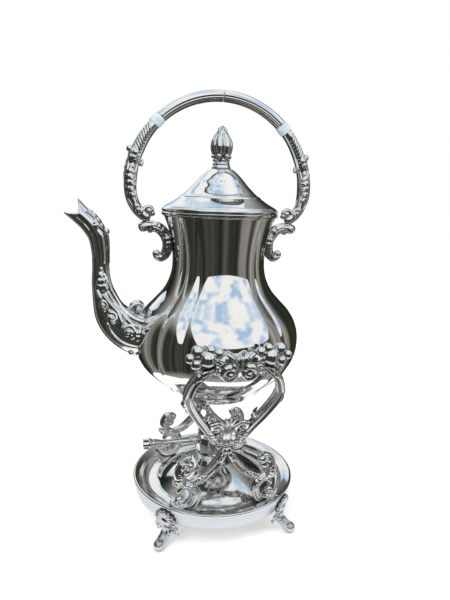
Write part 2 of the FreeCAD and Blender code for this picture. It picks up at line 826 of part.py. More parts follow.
def make_tray(screws):
    underside = [(radius + " - 1.0", height + " - tray_wall") for radius, height in reversed(DOME_LINE)]
    dish = turned("", [
        ("0", "platform_height"),
        ("platform_radius", "platform_height"),
        *DOME_LINE,
        ("tray_well_radius", "tray_well_height"),
        ("tray_rim_radius - tray_band", "tray_rim_height - 4"),
        ("tray_rim_radius - 2.2", "tray_rim_height - 0.4"),
        ("tray_rim_radius", "tray_rim_height - 1.4", "tray_rim_radius - 0.6", "tray_rim_height"),
        ("tray_base_radius", "tray_base_height"),
        ("tray_base_radius - tray_wall", "tray_base_height"),
        ("tray_rim_radius - 2.4", "tray_rim_height - 3"),
        ("tray_rim_radius - tray_band + 0.6", "tray_rim_height - 6"),
        ("tray_well_radius", "tray_well_height - tray_wall"),
        *underside,
        ("platform_radius - 1.0", "platform_height - 2"),
        ("0", "platform_height - 2"),
    ])
    return keep(less(dish, form(Part.makeCompound(screws))), "tray")


def foot_form():
    # One foot in its own plane: a neck that swings out to a round toe, under a shell on the wall.
    toe = size("toe_reach")
    height = size("toe_height")
    neck = size("foot_neck")
    arc_reach = size("foot_arc_reach")
    arc_rise = size("foot_arc_rise")
    line = arc_points(toe + 2, size("foot_arc_height"), arc_reach, arc_rise, 160, 262, 8)
    pieces = [tube(line, (0.8 * neck, neck, 1.05 * neck)), ball(size("toe_size"), toe, 0, height)]
    shell_base = Vector(size("shell_reach"), 0, size("shell_height"))
    outward = Vector(1, 0, size("shell_lean"))
    shell = Part.makeCylinder(size("shell_size"), size("shell_depth"), shell_base, outward)
    pieces.append(shell)
    floor = Part.makeBox(300, 300, 60, Vector(-150, -150, -60))
    return fused(pieces).cut(floor)


def make_feet():
    wall = Part.makeCone(size("tray_base_radius"), size("tray_rim_radius"),
                         size("tray_rim_height") - 1.4 - size("tray_base_height"),
                         Vector(0, 0, size("tray_base_height")))
    under = Part.makeCylinder(size("tray_base_radius") - 4, 30, Vector(0, 0, size("tray_base_height") - 6))
    shape = foot_form().cut([wall, under])
    for number, name in enumerate(("back_right", "back_left", "front_left", "front_right")):
        turn = size("foot_angle") + 90 * number
        solid(name + "_foot", moved(shape, Placement(Vector(0, 0, 0), Rotation(Vector(0, 0, 1), turn))))


# The cup's outside: radius and height.
CUP_OUTSIDE = [
    ("0", "burner_base"),
    ("burner_radius - 4", "burner_base"),
    ("burner_radius - 4", "burner_base + 2"),
    ("burner_radius - 1", "burner_base + 12"),
    ("burner_radius", "burner_handle_height - 8"),
    ("burner_radius - 0.6", "burner_handle_height"),
    ("burner_mouth", "burner_top - 3"),
]


def make_burner():
    wall = "1.2"
    turned("burner_cup", CUP_OUTSIDE + [
        ("burner_mouth", "burner_top - 1.5"),
        ("burner_mouth - " + wall, "burner_top - 1.5"),
        ("burner_mouth - " + wall, "burner_top - 3"),
        ("burner_radius - 0.6 - " + wall, "burner_handle_height"),
        ("burner_radius - " + wall, "burner_handle_height - 8"),
        ("burner_radius - 1 - " + wall, "burner_base + 12"),
        ("burner_radius - 5.2", "burner_base + 2.4"),
        ("0", "burner_base + 2.4"),
    ])
    turned("burner_cap", [
        ("wick_size", "burner_top - 1.5"),
        ("burner_mouth", "burner_top - 1.5"),
        ("burner_mouth", "burner_top - 0.6"),
        ("burner_mouth - 1.6", "burner_top"),
        ("wick_tube", "burner_top"),
        ("wick_tube", "wick_tube_top"),
        ("wick_size", "wick_tube_top"),
    ])
    turned("wick", [
        ("0", "burner_base + 6"),
        ("wick_size - 0.05", "burner_base + 6"),
        ("wick_size - 0.05", "wick_top - 1"),
        ("wick_size - 1.6", "wick_top"),
        ("0", "wick_top"),
    ])
    reach = size("burner_handle_reach")
    height = size("burner_handle_height")
    start = size("burner_radius") - 6
    line = [(-start - (reach - start) * share, height) for share in (0, 0.25, 0.55, 0.86, 0.95, 1)]
    cup_blank = turned("", CUP_OUTSIDE + [("0", "burner_top - 3")])
    keep(less(form(tube(line, (5.0, 4.2, 3.4, 2.6, 3.2, 5.4))), cup_blank), "burner_handle")


def make_snuffer():
    shell = turned("", [
        ("snuffer_bore", "snuffer_base"),
        ("snuffer_radius", "snuffer_base"),
        ("snuffer_radius", "snuffer_top - 3"),
        ("2.2", "snuffer_top", "snuffer_radius - 1.6", "snuffer_top - 0.8"),
        ("2.6", "snuffer_top + 3.4", "3.4", "snuffer_top + 1.7"),
        ("0", "snuffer_top + 4.4"),
        ("0", "snuffer_top - 1.4"),
        ("snuffer_bore", "snuffer_top - 3.2"),
    ])
    hinge = ("snuffer_hinge", "0 - 2.6", "snuffer_hinge_height")
    barrel = rod("2", "5.2", hinge, Vector(0, 1, 0))
    arm = block(("snuffer_hinge - snuffer_radius + 0.6", "5.2", "2"),
                ("snuffer_radius - 0.6", "0 - 2.6", "snuffer_hinge_height + 0.2"))
    bore = rod("1.05", "9", ("snuffer_hinge", "0 - 4.5", "snuffer_hinge_height"), Vector(0, 1, 0))
    hollow = rod("snuffer_bore", "8", ("0", "0", "snuffer_base"), Vector(0, 0, 1))
    keep(less(less(joined([shell, barrel, arm]), bore), hollow), "snuffer_cap")
    ears = []
    for low in ("0 - 5", "3"):
        cheek = rod("2.2", "2", ("snuffer_hinge", low, "snuffer_hinge_height"), Vector(0, 1, 0))
        post_base = ("snuffer_hinge - 2.2", low, "burner_top")
        post = block(("4.4", "2", "snuffer_hinge_height - burner_top"), post_base)
        ears.extend((cheek, post))
    pin_hole = rod("1", "12", ("snuffer_hinge", "0 - 6", "snuffer_hinge_height"), Vector(0, 1, 0))
    keep(less(joined(ears), pin_hole), "snuffer_bracket")
    pin = rod("1", "10.6", ("snuffer_hinge", "0 - 5.3", "snuffer_hinge_height"), Vector(0, 1, 0))
    keep(pin, "snuffer_pin", "snuffer_hinge")


def check_and_write():
    doc.recompute()
    faults = [item.Name for item in doc.Objects if {"Invalid", "Error"} & set(item.State)]
    if faults:
        raise RuntimeError("these objects failed: " + ", ".join(faults))
    for part in parts:
        if part.Shape.isNull() or not part.Shape.isValid():
            raise RuntimeError(part.Label + " has no valid shape")
    os.makedirs("parts", exist_ok=True)
    for part in parts:
        part.Shape.exportStep("parts/%s.step" % part.Label)
        print("%-26s solids %d volume %9.1f" % (part.Label, len(part.Shape.Solids), part.Shape.Volume))
    print(len(parts), "parts")


fill_sheet()
pot_blank = make_pot()
pot_lid = make_lid()
doc.recompute()
make_lid_hinge(pot_lid)
make_handle(pot_blank)
make_lugs(pot_blank)
make_pivots()
frame_screws = screw_shapes()
drip_tray = make_tray(frame_screws)
doc.recompute()
make_frames(drip_tray, frame_screws)
make_feet()
make_burner()
make_snuffer()
check_and_write()
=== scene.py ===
import json
import math

import bpy
import numpy as np
from mathutils import Matrix, Vector


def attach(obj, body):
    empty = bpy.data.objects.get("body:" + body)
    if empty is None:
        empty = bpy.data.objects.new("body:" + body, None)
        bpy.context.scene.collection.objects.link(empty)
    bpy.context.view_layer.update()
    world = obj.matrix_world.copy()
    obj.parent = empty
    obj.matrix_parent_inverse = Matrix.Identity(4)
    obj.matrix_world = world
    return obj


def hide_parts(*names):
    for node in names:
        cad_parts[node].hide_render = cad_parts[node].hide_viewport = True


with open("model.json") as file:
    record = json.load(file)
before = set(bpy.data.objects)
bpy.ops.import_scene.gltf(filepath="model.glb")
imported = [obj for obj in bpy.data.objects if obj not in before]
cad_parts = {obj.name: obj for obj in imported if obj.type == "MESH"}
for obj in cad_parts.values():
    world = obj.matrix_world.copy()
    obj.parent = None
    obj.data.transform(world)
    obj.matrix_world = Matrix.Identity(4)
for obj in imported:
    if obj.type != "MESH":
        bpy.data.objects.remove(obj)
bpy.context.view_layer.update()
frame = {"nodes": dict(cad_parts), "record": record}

# Forms are drawn in millimetres from the pot's own axis, which stands at AXIS_X in the frame.
AXIS_X = 25.9
AXIS = AXIS_X / 1000
FRONT = (0, -1, 0)
LEAF_ROOT = 1.6
# The voxel size that fuses a casting, in metres.
FINE = 0.00045


# Plain geometry.

def unit(vectors):
    vectors = np.asarray(vectors, float)
    return vectors / np.maximum(np.linalg.norm(vectors, axis=-1, keepdims=True), 1e-9)


def spread(values, count):
    """Values at even steps, taken smoothly to count steps."""
    values = np.asarray(values, float)
    if values.ndim == 0:
        return np.full(count, float(values))
    return np.interp(np.linspace(0, 1, count), np.linspace(0, 1, len(values)), values)


def curve(stops, count):
    """A smooth line through the stops, in count points evenly spaced along it."""
    stops = np.asarray(stops, float)
    if stops.shape[1] == 2:
        stops = np.stack([stops[:, 0], np.zeros(len(stops)), stops[:, 1]], axis=1)
    before = np.vstack([2 * stops[0] - stops[1], stops, 2 * stops[-1] - stops[-2]])
    line = []
    for i in range(len(stops) - 1):
        a, b, c, d = before[i:i + 4]
        for t in np.linspace(0, 1, 24, endpoint=False):
            line.append(0.5 * (2 * b + (c - a) * t + (2 * a - 5 * b + 4 * c - d) * t * t
                               + (3 * b - a - 3 * c + d) * t ** 3))
    line.append(stops[-1])
    line = np.array(line)
    length = np.concatenate([[0], np.cumsum(np.linalg.norm(np.diff(line, axis=0), axis=1))])
    even = np.linspace(0, length[-1], count)
    return np.stack([np.interp(even, length, line[:, k]) for k in range(3)], axis=1)


def arc(middle, reach, start, end, count):
    """Points of an ellipse arc in the x-z plane, angles in degrees."""
    turn = np.radians(np.linspace(start, end, count))
    reach_x, reach_z = reach if isinstance(reach, tuple) else (reach, reach)
    return np.stack([middle[0] + reach_x * np.cos(turn), middle[1] + reach_z * np.sin(turn)], axis=1)


def rings_to_mesh(rings, closed_ends=True):
    """Faces between rings of equal length. The ends close on a middle point."""
    rings = np.asarray(rings, float)
    count, sides = rings.shape[:2]
    points = rings.reshape(-1, 3)
    faces = []
    for i in range(count - 1):
        for j in range(sides):
            k = (j + 1) % sides
            faces.append((i * sides + j, i * sides + k, (i + 1) * sides + k, (i + 1) * sides + j))
    if closed_ends:
        ends = np.stack([rings[0].mean(axis=0), rings[-1].mean(axis=0)])
        first = len(points)
        points = np.vstack([points, ends])
        last_ring = (count - 1) * sides
        for j in range(sides):
            k = (j + 1) % sides
            faces.append((first, k, j))
            faces.append((first + 1, last_ring + j, last_ring + k))
    return points, faces


def grid_to_mesh(top, under):
    """A closed pad between two grids of the same shape."""
    rows, columns = top.shape[:2]
    points = np.vstack([top.reshape(-1, 3), under.reshape(-1, 3)])
    base = rows * columns
    faces = []
    for i in range(rows - 1):
        for j in range(columns - 1):
            a, b = i * columns + j, i * columns + j + 1
            c, d = (i + 1) * columns + j + 1, (i + 1) * columns + j
            faces.append((a, b, c, d))
            faces.append((base + d, base + c, base + b, base + a))
    edge = list(range(columns))
    edge += [i * columns + columns - 1 for i in range(1, rows)]
    edge += [(rows - 1) * columns + j for j in range(columns - 2, -1, -1)]
    edge += [i * columns for i in range(rows - 2, 0, -1)]
    for a, b in zip(edge, edge[1:] + edge[:1]):
        faces.append((b, a, base + a, base + b))
    return points, faces


def together(meshes):
    points, faces, start = [], [], 0
    for some_points, some_faces in meshes:
        points.append(some_points)
        faces.extend(tuple(index + start for index in face) for face in some_faces)
        start += len(some_points)
    return np.vstack(points), faces


def level_ring(radius, height, turn):
    """A level line round the z axis. The radius may change with the turn."""
    return np.stack([radius * np.cos(turn), radius * np.sin(turn), np.full(len(turn), height)], axis=1)


def ball(middle, reach, rows=14, sides=24):
    """A round or oval lump."""
    reach = np.broadcast_to(np.asarray(reach, float), (3,))
    middle = np.asarray(middle, float)
    turn = np.linspace(0, 2 * np.pi, sides, endpoint=False)
    near_pole = np.pi / 2 - 0.12
    climbs = np.linspace(-near_pole, near_pole, rows)
    return rings_to_mesh([middle + reach * level_ring(np.cos(a), np.sin(a), turn) for a in climbs])


def turned(profile, sides, closed=False):
    """A turned form about the pot's axis. Profile rows are radius and height."""
    turn = np.linspace(0, 2 * np.pi, sides, endpoint=False)
    rings = [level_ring(radius, height, turn) for radius, height in profile]
    if closed:
        rings.append(rings[0])
    return rings_to_mesh(rings, closed_ends=not closed)


def round_ended(rings, path, tangent, radii, steps):
    """Smaller rings beyond both ends, so that a bar ends in half balls."""
    first, last = [], []
    for step in steps:
        shrink = math.sqrt(1 - step * step)
        first.insert(0, path[0] + (rings[0] - path[0]) * shrink - tangent[0] * radii[0] * step)
        last.append(path[-1] + (rings[-1] - path[-1]) * shrink + tangent[-1] * radii[-1] * step)
    return first + rings + last


class Bar:
    """A tapering bar along a line in a plane, with reliefs laid on its skin.

    Turn 90 faces the front (across), turn 0 faces across x tangent. Along runs from 0 to 1.
    """

    def __init__(self, stops, radii, width=1.0, count=72):
        self.path = curve(stops, count)
        self.radii = spread(radii, count)
        self.widths = spread(width, count)
        self.across = unit(FRONT)
        self.tangent = unit(np.gradient(self.path, axis=0))
        self.side = unit(np.cross(self.across, self.tangent))
        self.count = count
        self.length = float(np.sum(np.linalg.norm(np.diff(self.path, axis=0), axis=1)))

    def at(self, along, turn, lift=0.0):
        along = np.clip(np.asarray(along, float), 0, 1)
        along, turn, lift = np.broadcast_arrays(along, np.asarray(turn, float), np.asarray(lift, float))
        place = along * (self.count - 1)

        def pick(rows):
            return np.stack([np.interp(place, np.arange(self.count), rows[:, k]) for k in range(3)], axis=-1)

        radius = np.interp(place, np.arange(self.count), self.radii)
        width = np.interp(place, np.arange(self.count), self.widths)
        angle = np.radians(turn)
        out = (radius + lift)[..., None] * np.cos(angle)[..., None] * pick(self.side)
        forward = ((radius * width + lift) * np.sin(angle))[..., None] * self.across
        return pick(self.path) + out + forward

    def skin(self, sides=32, shape=None, round_ends=True):
        turn = np.linspace(0, 360, sides, endpoint=False)
        factor = shape(turn) if shape else np.ones(sides)
        rings = []
        for i in range(self.count):
            flat = self.at(i / (self.count - 1), turn)
            rings.append(self.path[i] + (flat - self.path[i]) * factor[:, None])
        if round_ends:
            rings = round_ended(rings, self.path, self.tangent, self.radii, (0.35, 0.65, 0.88, 0.98))
        return rings_to_mesh(rings)

    def vine(self, stops, thick, lift=0.0, count=28, face=1):
        """A raised line on the skin through stops of (along, turn). Face -1 puts it on the back."""
        line = curve([(a * 100, 0, t * face) for a, t in stops], count)
        path = self.at(line[:, 0] / 100, line[:, 2], lift)
        return free_tube(path, spread(thick, count))

    def curl(self, along, turn, reach, thick, turns=1.4, start=0.0, hand=1):
        """A spiral scroll lying on the skin, with a round eye."""
        count = int(30 * turns)
        angle = np.radians(start) + hand * np.linspace(0, 2 * np.pi * turns, count)
        shrink = np.linspace(1, 0.16, count)
        radius = np.interp(along, np.linspace(0, 1, self.count), self.radii)
        place = along + reach * shrink * np.cos(angle) / self.length
        swing = turn + np.degrees(reach * shrink * np.sin(angle) / radius)
        path = self.at(place, swing)
        body = free_tube(path, np.linspace(thick, 0.75 * thick, count))
        return together([body, ball(self.at(along, turn, 0.3 * thick), 1.35 * thick)])

    def bead(self, along, turn, radius, lift=0.0):
        return ball(self.at(along, turn, lift), radius)

    def leaf(self, start, end, turn, width, height, lobes=4, bend=0.0):
        """A lobed leaf with a middle vein, lying along the skin. Width is in millimetres."""
        u = np.linspace(0, 1, 6 * lobes + 8)[:, None]
        v = np.linspace(-1, 1, 15)[None, :]
        lobe = np.abs(np.cos(np.pi * lobes * u))
        reach = np.sin(np.pi * u ** 0.8) ** 0.6 * (0.72 + 0.28 * lobe)
        radius = np.interp((start + end) / 2, np.linspace(0, 1, self.count), self.radii)
        along = start + (end - start) * (u + 0.05 * np.abs(v) * (1 - u)) + 0 * v
        swing = turn + bend * u + np.degrees(width * reach * v / radius)
        vein = np.exp(-(v / 0.13) ** 2)
        crease = np.exp(-(lobe / 0.25) ** 2) * np.abs(v) ** 0.7
        top = height * reach * (1.0 - 0.45 * v * v - 0.5 * vein - 0.45 * crease) + 0.1
        return grid_to_mesh(self.at(along, swing, top), self.at(along, swing, -LEAF_ROOT + 0 * top))


def free_tube(path, radii, sides=14):
    """A round tube along any line, with round ends."""
    path = np.asarray(path, float)
    tangent = unit(np.gradient(path, axis=0))
    normal = unit(np.cross(tangent[0], (0.31, 0.83, 0.46)))
    turn = np.linspace(0, 2 * np.pi, sides, endpoint=False)
    rings = []
    for i, place in enumerate(path):
        normal = unit(normal - tangent[i] * np.dot(normal, tangent[i]))
        other = np.cross(tangent[i], normal)
        rings.append(place + radii[i] * (np.cos(turn)[:, None] * normal + np.sin(turn)[:, None] * other))
    return rings_to_mesh(round_ended(rings, path, tangent, radii, (0.5, 0.87)))


def scroll(middle, start, turns, reach, thick, hand=1, width=1.0, plane_y=0.0):
    """A spiral bar in the x-z plane that winds in to a round eye."""
    count = int(26 * turns) + 4
    angle = np.radians(start) + hand * np.linspace(0, 2 * np.pi * turns, count)
    shrink = np.linspace(1, 0.14, count)
    path = np.stack([middle[0] + reach * shrink * np.cos(angle), np.full(count, plane_y),
                     middle[1] + reach * shrink * np.sin(angle)], axis=1)
    bar = Bar(path, np.linspace(thick, 0.8 * thick, count), width, count)
    eye_reach = 1.3 * thick
    return together([bar.skin(20), ball((middle[0], plane_y, middle[1]),
                                        (eye_reach, eye_reach * max(width, 1.1), eye_reach))])


def flipped(mesh):
    """The same form on the other side of the pot's middle plane."""
    points, faces = mesh
    return points * np.array([-1, 1, 1]), [face[::-1] for face in faces]


def half_turn(mesh):
    points, faces = mesh
    return points * np.array([-1, -1, 1]), faces


def spun(mesh, degrees):
    points, faces = mesh
    c, s = math.cos(math.radians(degrees)), math.sin(math.radians(degrees))
    return np.stack([c * points[:, 0] - s * points[:, 1], s * points[:, 0] + c * points[:, 1],
                     points[:, 2]], axis=1), faces


# Pieces.

def piece(name, mesh, body, slot, nodes, voxel=None, ease=2, look=None, floor=False):
    """A finished object. A voxel size fuses overlapping forms into one skin, as a casting is."""
    points, faces = mesh
    points = (np.asarray(points, float) + np.array([AXIS_X, 0, 0])) / 1000
    data = bpy.data.meshes.new(name)
    data.from_pydata(points.tolist(), [], [list(face) for face in faces])
    data.validate()
    obj = bpy.data.objects.new(name, data)
    bpy.context.scene.collection.objects.link(obj)
    if voxel:
        fuse = obj.modifiers.new("fuse", "REMESH")
        fuse.mode = "VOXEL"
        fuse.voxel_size = voxel
        soften = obj.modifiers.new("soften", "SMOOTH")
        soften.factor = 0.5
        soften.iterations = ease
        graph = bpy.context.evaluated_depsgraph_get()
        made = bpy.data.meshes.new_from_object(obj.evaluated_get(graph))
        obj.modifiers.clear()
        obj.data = made
        bpy.data.meshes.remove(data)
        made.name = name
    if floor:
        for vertex in obj.data.vertices:
            vertex.co.z = max(vertex.co.z, 0.0)
    obj.data.shade_smooth()
    obj.data.materials.clear()
    obj.data.materials.append(look or LOOKS[slot])
    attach(obj, body)
    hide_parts(*nodes)


def right_and_left(name, mesh, slot, node, voxel=None):
    """A piece of the pot on its right side and the mirror twin on its left."""
    for side, form in (("right", mesh), ("left", flipped(mesh))):
        piece(name + "_" + side, form, "pot", slot, [side + "_" + node], voxel)


# Materials.

class Wiring:
    """A node tree in which each new node is fed as it is made, by plain values or by other nodes."""

    def __init__(self, tree):
        self.tree = tree

    def feed(self, socket, value):
        if isinstance(value, bpy.types.NodeSocket):
            self.tree.links.new(value, socket)
        else:
            socket.default_value = value

    def add(self, kind, fed, out, **settings):
        """The output of a new node. Fed holds what goes into each of its inputs."""
        node = self.tree.nodes.new("ShaderNode" + kind)
        for key, setting in settings.items():
            setattr(node, key, setting)
        for key, value in fed.items():
            self.feed(node.inputs[key], value)
        return node.outputs[out]

    def place(self):
        return self.add("TexCoord", {}, "Object")

    def noise(self, place, scale, detail):
        return self.add("TexNoise", {"Vector": place, "Scale": scale, "Detail": detail}, "Fac")

    def math(self, operation, first, second):
        return self.add("Math", {0: first, 1: second}, "Value", operation=operation)

    def vector(self, operation, out, *fed):
        return self.add("VectorMath", dict(enumerate(fed)), out, operation=operation)

    def level(self, value, start, end, way="LINEAR"):
        """Runs from 0 to 1 as the value runs from start to end."""
        fed = {"Value": value, "From Min": start, "From Max": end}
        return self.add("MapRange", fed, "Result", interpolation_type=way)

    def mix(self, kind, amount, first, second):
        return self.add("Mix", {"Factor": amount, "A": first, "B": second}, "Result", data_type=kind)

    def ramp(self, value, *stops):
        """A colour that follows the value through stops of (position, colour)."""
        node = self.tree.nodes.new("ShaderNodeValToRGB")
        elements = node.color_ramp.elements
        for element, (position, colour) in zip(elements, (stops[0], stops[-1])):
            element.position = position
            element.color = colour
        for position, colour in stops[1:-1]:
            elements.new(position).color = colour
        self.feed(node.inputs["Fac"], value)
        return node.outputs["Color"]

    def from_axis(self, place):
        """The level way out from the pot's axis, how far out it is, and the height."""
        shifted = self.vector("SUBTRACT", "Vector", place, (AXIS, 0, 0))
        flat = self.vector("MULTIPLY", "Vector", shifted, (1, 1, 0))
        reach = self.vector("LENGTH", "Value", flat)
        return flat, reach, self.add("SeparateXYZ", {"Vector": place}, "Z")


def grey(value):
    return (value, value, value, 1)


def coated(name, finish):
    """A material whose shader takes what finish(wiring) says for each of its inputs."""
    material = bpy.data.materials.new(name)
    material.use_nodes = True
    wiring = Wiring(material.node_tree)
    shader = material.node_tree.nodes["Principled BSDF"]
    for key, value in finish(wiring).items():
        wiring.feed(shader.inputs[key], value)
    return material


def bumped(wiring, height, strength, distance):
    return wiring.add("Bump", {"Height": height, "Strength": strength, "Distance": distance}, "Normal")


def tarnish_and_painted_shade(wiring):
    """1 in hollows, where tarnish lies that polish does not reach, and in narrow gaps, where the darkening is
    painted shade, and 0 on open faces.
    """
    bend = wiring.add("NewGeometry", {}, "Pointiness")
    hollow = wiring.ramp(bend, (0.41, grey(1.0)), (0.488, grey(0.0)))
    # The occlusion term paints shade into narrow gaps between forms.
    openness = wiring.add("AmbientOcclusion", {"Distance": 0.005}, "AO", samples=8)
    gap = wiring.ramp(openness, (0.32, grey(1.0)), (0.80, grey(0.0)))
    return wiring.math("MAXIMUM", hollow, gap)


def outer_wall(wiring):
    """1 on the tray's upright outer wall and 0 elsewhere."""
    place = wiring.add("NewGeometry", {}, "Position")
    flat, reach, height = wiring.from_axis(place)
    under_rim = wiring.level(height, 0.0388, 0.0372)
    return wiring.math("MULTIPLY", under_rim, wiring.level(reach, 0.0785, 0.0792))


def silver(name, light, warm, gloss, tarnish_and_shade_share=0.0, ripple=0.02, satin_and_painted_dim=False):
    """Silver plate: an uneven skin, fine rubbing marks, warm tarnish, and dark hollows of tarnish and painted
    shade, or a rougher outer wall of the tray whose greyer colour is a painted dim reflection.
    """
    def finish(wiring):
        place = wiring.place()
        colour = wiring.ramp(wiring.noise(place, 22.0, 4.0), (0.35, light), (0.72, warm))
        rough = wiring.ramp(wiring.noise(place, 420.0, 3.0), (0.3, grey(gloss[0])), (0.75, grey(gloss[1])))
        if tarnish_and_shade_share:
            amount = wiring.math("MULTIPLY", tarnish_and_painted_shade(wiring), tarnish_and_shade_share)
            # The near-black colour is tarnish in hollows and painted shade in narrow gaps.
            colour = wiring.mix("RGBA", amount, colour, (0.045, 0.042, 0.04, 1))
            rough = wiring.mix("FLOAT", amount, rough, 0.5)
        if satin_and_painted_dim:
            amount = outer_wall(wiring)
            # Painted reflection: this greyer colour stands in for the dim, shaded table that the wall
            # reflects; the higher roughness below is the wall's own finish.
            colour = wiring.mix("RGBA", amount, colour, (0.60, 0.62, 0.655, 1))
            rough = wiring.mix("FLOAT", amount, rough, 0.34)
        wave = bumped(wiring, wiring.noise(place, 45.0, 2.0), ripple, 0.002)
        return {"Metallic": 1.0, "Base Color": colour, "Roughness": rough, "Normal": wave}

    return coated(name, finish)


def insulator(wiring):
    mottle = wiring.noise(wiring.place(), 260.0, 4.0)
    colour = wiring.ramp(mottle, (0.3, (0.46, 0.54, 0.60, 1)), (0.7, (0.60, 0.68, 0.73, 1)))
    rough = wiring.ramp(mottle, (0.3, grey(0.28)), (0.7, grey(0.42)))
    return {"Base Color": colour, "Roughness": rough, "Normal": bumped(wiring, mottle, 0.08, 0.0004)}


def brass(wiring):
    stain = wiring.noise(wiring.place(), 180.0, 5.0)
    colour = wiring.ramp(stain, (0.35, (0.72, 0.58, 0.32, 1)), (0.75, (0.42, 0.31, 0.16, 1)))
    rough = wiring.ramp(stain, (0.3, grey(0.22)), (0.7, grey(0.45)))
    return {"Metallic": 1.0, "Base Color": colour, "Roughness": rough}


def wick(wiring):
    fed = {"Vector": wiring.place(), "Scale": 220.0, "Distortion": 2.0, "Detail": 2.0}
    weave = wiring.add("TexWave", fed, "Fac", bands_direction="DIAGONAL")
    colour = wiring.ramp(weave, (0.2, (0.55, 0.50, 0.40, 1)), (0.8, (0.86, 0.82, 0.72, 1)))
    return {"Base Color": colour, "Roughness": 0.95, "Normal": bumped(wiring, weave, 0.6, 0.0006)}


PALE, YELLOWED = (0.88, 0.875, 0.86, 1), (0.82, 0.81, 0.785, 1)
CAST_PALE, CAST_YELLOWED = (0.86, 0.855, 0.84, 1), (0.78, 0.77, 0.745, 1)
TRAY_PALE, TRAY_YELLOWED = (0.84, 0.835, 0.82, 1), (0.76, 0.75, 0.72, 1)
LOOKS = {
    "polished_silver": silver("polished_silver", PALE, YELLOWED, (0.035, 0.075)),
    "cast_silver": silver("cast_silver", CAST_PALE, CAST_YELLOWED, (0.07, 0.15), 0.85, 0.05),
    "tray_silver": silver("tray_silver", TRAY_PALE, TRAY_YELLOWED, (0.06, 0.12), satin_and_painted_dim=True),
    "insulator": coated("insulator", insulator),
    "screw_brass": coated("screw_brass", brass),
    "wick": coated("wick", wick),
}
# The feet are the same silver as the other castings; their much darker colours are painted shade.
SHADED_FOOT_SILVER = silver("foot_silver_painted_shade", (0.56, 0.57, 0.59, 1), (0.46, 0.47, 0.49, 1), (0.10, 0.20), 0.9, 0.05)

for part in frame["record"]["subparts"]:
    node = frame["nodes"][part["node"]]
    node.data.materials.clear()
    node.data.materials.append(LOOKS[part["material_slot"]])


# Pot.

POT_PROFILE = ((43, 129.5), (44.6, 130.6), (46.6, 133.4), (51.6, 138.4), (58.4, 143.6), (65.2, 149.4),
               (71.6, 156.2), (76.6, 164.6), (79.6, 174), (80.6, 184), (79.6, 194), (76, 204),
               (70, 213.2), (61.6, 222), (53.2, 231.4), (47.6, 242), (45, 252), (44.5, 263),
               (45.4, 275), (47.8, 287), (50.6, 296), (53.2, 302.4))
CREASE_DEPTH = ((128, 0.2), (143, 1.4), (158, 2.2), (184, 2.6), (204, 2.6), (222, 2.2), (243, 1.5),
                (264, 1.2), (287, 0.7), (302.4, 0.2))
PANEL_HALF = 35
FLUTE_HALF = 10
POT_WALL = 1.6


def panel_cut(turn, height):
    """How far the skin lies inside the full radius: wide panels and narrow flutes meet in valleys."""
    off = np.abs((np.degrees(turn) + 45) % 90 - 45)
    depth = np.interp(height, [h for h, d in CREASE_DEPTH], [d for h, d in CREASE_DEPTH])
    wide = (off / PANEL_HALF) ** 2.6
    flute = 0.30 + 0.70 * ((45 - off) / FLUTE_HALF) ** 2
    return depth * np.where(off <= PANEL_HALF, wide, flute)


def make_pot():
    line = curve([(r, z) for r, z in POT_PROFILE], 120)
    sides = 288
    turn = np.linspace(0, 2 * np.pi, sides, endpoint=False)
    outer, inner = [], []
    for radius, _, height in line:
        reach = radius - panel_cut(turn, height)
        outer.append(level_ring(reach, height, turn))
        inner.append(level_ring(reach.min() - POT_WALL, height, turn))
    rings = outer + inner[::-1]
    rings.append(rings[0])
    mesh = rings_to_mesh(rings, closed_ends=False)
    piece("pot_shell", mesh, "pot", "polished_silver", ["pot_body", "pot_neck"])


SPOUT_LINE = ((-62, 188), (-78, 191), (-92, 198), (-102, 209), (-107.5, 225), (-110.5, 240), (-111, 256),
              (-111.5, 270), (-113.5, 282), (-120, 293), (-129, 302))
SPOUT_SIZE = (24, 22.5, 19.5, 16, 12.6, 9.6, 7.9, 7.5, 8.2, 8.6, 8.5)
SPOUT_WIDTH = (0.85, 0.85, 0.85, 0.84, 0.82, 0.8, 0.8, 0.8, 0.8, 0.8, 0.8)
LIP_REACH = 9.2
LIP_HALF_BREADTH = 6.3


def spout_shell(bar):
    """The hollow spout with a beak: two lips stand forward and the sides between them are lower."""
    sides = 48
    turn = np.linspace(0, 360, sides, endpoint=False)
    angle = np.radians(turn)
    rings = [bar.at(a, turn) for a in np.linspace(0, 1, 60)]
    end, ahead, side = bar.path[-1], bar.tangent[-1], bar.side[-1]
    radius = bar.radii[-1]
    forward = 1.5 + 8 * np.abs(np.cos(angle)) ** 1.6
    for wall in (0, 1.3):
        lip = []
        for t in np.linspace(0.15, 1, 6):
            out = radius + (LIP_REACH - radius) * t - wall
            broad = bar.widths[-1] * radius + (LIP_HALF_BREADTH - bar.widths[-1] * radius) * t - wall
            lip.append(end + ahead * (forward * t)[:, None] + side * (out * np.cos(angle))[:, None]
                       + bar.across * (broad * np.sin(angle))[:, None])
        rings += lip if wall == 0 else lip[::-1]
    rings += [bar.at(a, turn, -1.5) for a in np.linspace(1, 0.5, 24)]
    return rings_to_mesh(rings)


